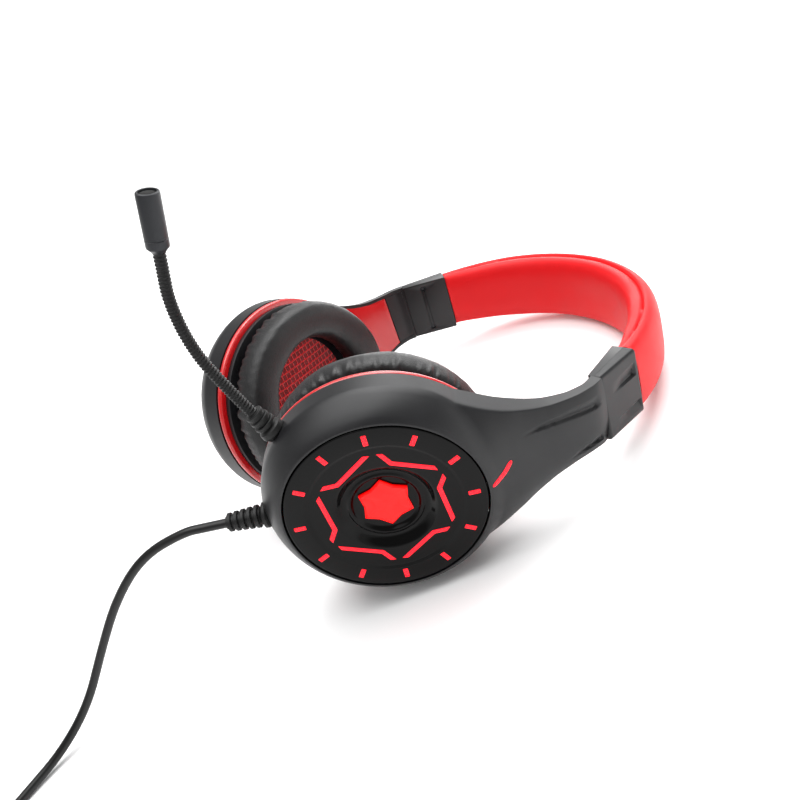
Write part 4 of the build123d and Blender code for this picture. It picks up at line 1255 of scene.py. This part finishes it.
@dataclass
class Cable:
    """One round cable: out of the sleeve, down to the table, into a stored coil, and to its plug."""

    mats: dict
    diameter: float = 3.8
    first_run: float = 18.0
    route: tuple = ((13.2, -143.0, 63.5), (6.5, -162.9, 51.0), (2.0, -182.5, 33.0), (0.5, -202.3, 14.5),
                    (1.5, -223.2, 4.0), (6.5, -243.0, 2.1), (14.2, -262.0, 2.3), (19.6, -281.0, 2.6))
    coil: tuple = (-5.5, -300.7)
    coil_r: tuple = (18.3, 22.5, 26.7)
    floor_h: float = 2.75
    layer_h: float = 3.95
    tail: tuple = ((-19.0, -327.7, 6.5), (-39.0, -325.7, 4.0), (-57.0, -319.7, 4.0))

    def turns(self) -> list:
        """The coil's points: clockwise rings beside each other in layers, stepping to a neighbour."""
        inner, middle, outer = self.coil_r
        order = [(outer, 0), (middle, 0), (inner, 0), (inner, 1), (middle, 1), (middle, 2), (inner, 2),
                 (inner, 3), (middle, 3), (outer, 3), (outer, 2), (outer, 1)]
        points = []
        for k, (radius, layer) in enumerate(order):
            last = k == len(order) - 1
            to_radius, to_layer = order[k] if last else order[k + 1]
            for step in range(5 if last else 20):
                turn = step / 20
                share = max(0.0, (turn - 0.5) / 0.5)
                share = share * share * (3 - 2 * share)
                r = radius + (to_radius - radius) * share
                points.append((self.coil[0] + r * math.cos(2 * math.pi * turn),
                               self.coil[1] - r * math.sin(2 * math.pi * turn),
                               self.floor_h + self.layer_h * (layer + (to_layer - layer) * share)))
        return points

    def build(self) -> None:
        """The cable as one curve, and its tie and plug."""
        cup = cup_axes(Side.LEFT)
        mouth = 3.5 - 47.6 - 3.6 - 16.0 - 0.02
        out = cup.at(np.array([(0, mouth, 9.5), (0, mouth - self.first_run * 0.5, 9.5),
                               (0, mouth - self.first_run, 9.5)])) / MM
        points = [tuple(p) for p in out] + list(self.route) + self.turns() + list(self.tail)
        data = bpy.data.curves.new("cable", "CURVE")
        data.dimensions = "3D"
        spline = data.splines.new("NURBS")
        spline.points.add(len(points) - 1)
        for place, point in zip(spline.points, points):
            place.co = (*[float(c) * MM for c in point], 1.0)
        spline.order_u, spline.use_endpoint_u = 3, True
        spline.resolution_u = 6
        data.bevel_depth, data.bevel_resolution, data.use_fill_caps = self.diameter / 2 * MM, 5, True
        cable = bpy.data.objects.new("cable", data)
        bpy.context.scene.collection.objects.link(cable)
        dress(cable, self.mats["cable_jacket"])
        fine = []
        knots = np.array(points)
        for a, b, c in zip(knots, knots[1:], knots[2:]):
            m0, m1 = (a + b) / 2, (b + c) / 2
            fine += [((1 - t) ** 2 * m0 + 2 * t * (1 - t) * b + t * t * m1) for t in np.linspace(0, 1, 8)]
        fine = np.vstack((knots[0], *fine, knots[-1]))
        grip = soften_node("usb_grip", 1.0, self.mats["flexible_black_rubber"])
        shell = soften_node("usb_shell", 0.12, self.mats["nickel_plate"])
        tie = soften_node("cable_tie", 0.3, self.mats["flexible_black_rubber"])
        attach(cable, Side.LEFT.body)
        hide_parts("cable_lead", "cable_coil", "cable_tail")


# ---------------------------------------------------------------- carried-over pieces and the room


def dress_frame(mats: dict) -> None:
    """Softens and dresses the CAD nodes that stay in view or inside."""
    for side in Side:
        looks = {"slider_tongue": (0.15, "spring_steel"), "speaker_baffle": (0.3, "satin_black_abs"),
                 "baffle_screws": (0.1, "black_oxide_steel"), "speaker_frame": (0.1, "speaker_frame_abs"),
                 "speaker_magnet": (0.2, "ferrite_magnet"), "voice_coil": (0.05, "enamelled_copper"),
                 "speaker_cone": (0.02, "speaker_film"), "led_board": (0.05, "glass_fibre_board"),
                 "cap_inner": (0.4, "satin_black_abs"),
                 "cap_screws": (0.1, "black_oxide_steel")}
        for name, (width, finish) in looks.items():
            soften_node(side.node(name), width, mats[finish])
    soften_node("spring_strip", 0.1, mats["spring_steel"])


@dataclass
class Studio:
    """A plain pale table, soft lights and the camera."""

    eye: tuple = (318.0, 178.8, -78.4)
    right: tuple = (0.451, -0.272, 0.850)
    down: tuple = (0.322, -0.839, -0.439)
    lens: float = 37.86

    def aim(self, obj: bpy.types.Object, place: np.ndarray, target: np.ndarray) -> None:
        """Points an object's -Z from a place at a target, both in millimetres."""
        obj.location = Vector(place * MM)
        obj.rotation_mode = "QUATERNION"
        obj.rotation_quaternion = Vector((target - place) * MM).to_track_quat("-Z", "Y")

    def softbox(self, name: str, place: np.ndarray, size: float, power: float) -> None:
        """A square area light aimed at the headset."""
        light = bpy.data.lights.new(name, "AREA")
        light.shape, light.size, light.energy = "SQUARE", size, power
        obj = bpy.data.objects.new(name, light)
        obj.visible_camera = False
        bpy.context.scene.collection.objects.link(obj)
        self.aim(obj, place, np.array((0.0, -20.0, 40.0)))

    def build(self) -> None:
        """The table, the lights, the surroundings and the camera."""
        half = 40.0
        mesh = bpy.data.meshes.new("table_top")
        mesh.from_pydata([(-half, -half, 0), (half, -half, 0), (half, half, 0), (-half, half, 0)], [],
                         [(0, 1, 2, 3)])
        floor = bpy.data.objects.new("table_top", mesh)
        bpy.context.scene.collection.objects.link(floor)
        paper = Moulded("matt_white_paper", "#fafafa", "#fcfcfc", 0.9, 0.05, 1.2, 0.01, 120.0, level=0.1)
        dress(floor, paper.build())
        eye = spot(*self.eye)
        right, down = way(*self.right), way(*self.down)
        right, down = right / np.linalg.norm(right), down - right * (down @ right) / (right @ right)
        down = down / np.linalg.norm(down)
        back = np.cross(right, -down)
        view = -back
        camera = bpy.data.objects.new("camera", bpy.data.cameras.new("camera"))
        camera.data.lens, camera.data.sensor_width = self.lens, 36.0
        camera.data.clip_start, camera.data.clip_end = 0.01, 200.0
        turn = Matrix([[*right], [*(-down)], [*back]]).transposed()
        camera.matrix_world = Matrix.Translation(Vector(eye * MM)) @ turn.to_4x4()
        bpy.context.scene.collection.objects.link(camera)
        bpy.context.scene.camera = camera
        above = -down
        bpy.context.scene.view_settings.view_transform = "Standard"
        sky = bpy.data.lights.new("broad_ceiling", "SUN")
        sky.energy, sky.angle = 2.5, math.radians(60)
        ceiling = bpy.data.objects.new("broad_ceiling", sky)
        bpy.context.scene.collection.objects.link(ceiling)
        self.aim(ceiling, np.array((0.0, 0.0, 2000.0)) + above * 500, np.zeros(3))
        self.softbox("overhead_softbox", above * 900 - view * 60, 0.7, 8.0)
        self.softbox("camera_side_fill", eye + right * -350 - down * 250, 0.5, 1.0)
        self.softbox("far_side_strip", view * 600 + above * 420 + right * 150, 0.5, 3.5)
        world = bpy.data.worlds.new("studio")
        bpy.context.scene.world = world
        world.use_nodes = True
        tree = world.node_tree
        place = add(tree, "ShaderNodeTexCoord").outputs["Generated"]
        height = add(tree, "ShaderNodeSeparateXYZ", {0: place}).outputs["Z"]
        level = add(tree, "ShaderNodeMapRange", {"Value": height, "From Min": 0.14, "From Max": 0.34,
                                                 "To Min": 1.1, "To Max": 0.4})
        tree.links.new(level.outputs[0], tree.nodes["Background"].inputs["Strength"])
        tree.nodes["Background"].inputs["Color"].default_value = (1.0, 1.0, 1.0, 1.0)


def main() -> None:
    """Builds every piece in order and reports it."""
    logging.basicConfig(level=logging.INFO, format="%(message)s")
    mats = finish_set()
    spokes, collars = spoke_tree(), ring_row_tree()
    for side in Side:
        shell = CupShell(side, mats)
        shell.build()
        shell.build_slash()
        shell.build_inner_trim()
        BandCap(side, mats).build()
        face = LitFace(side, mats, spokes)
        face.build_plate()
        face.build_lights()
        face.build_star()
    EarCushion(mats).build()
    PaddedBand(mats).build()
    Boots(mats, collars).build()
    Boom(mats).build()
    Cable(mats).build()
    dress_frame(mats)
    Studio().build()


if __name__ == "__main__":
    main()
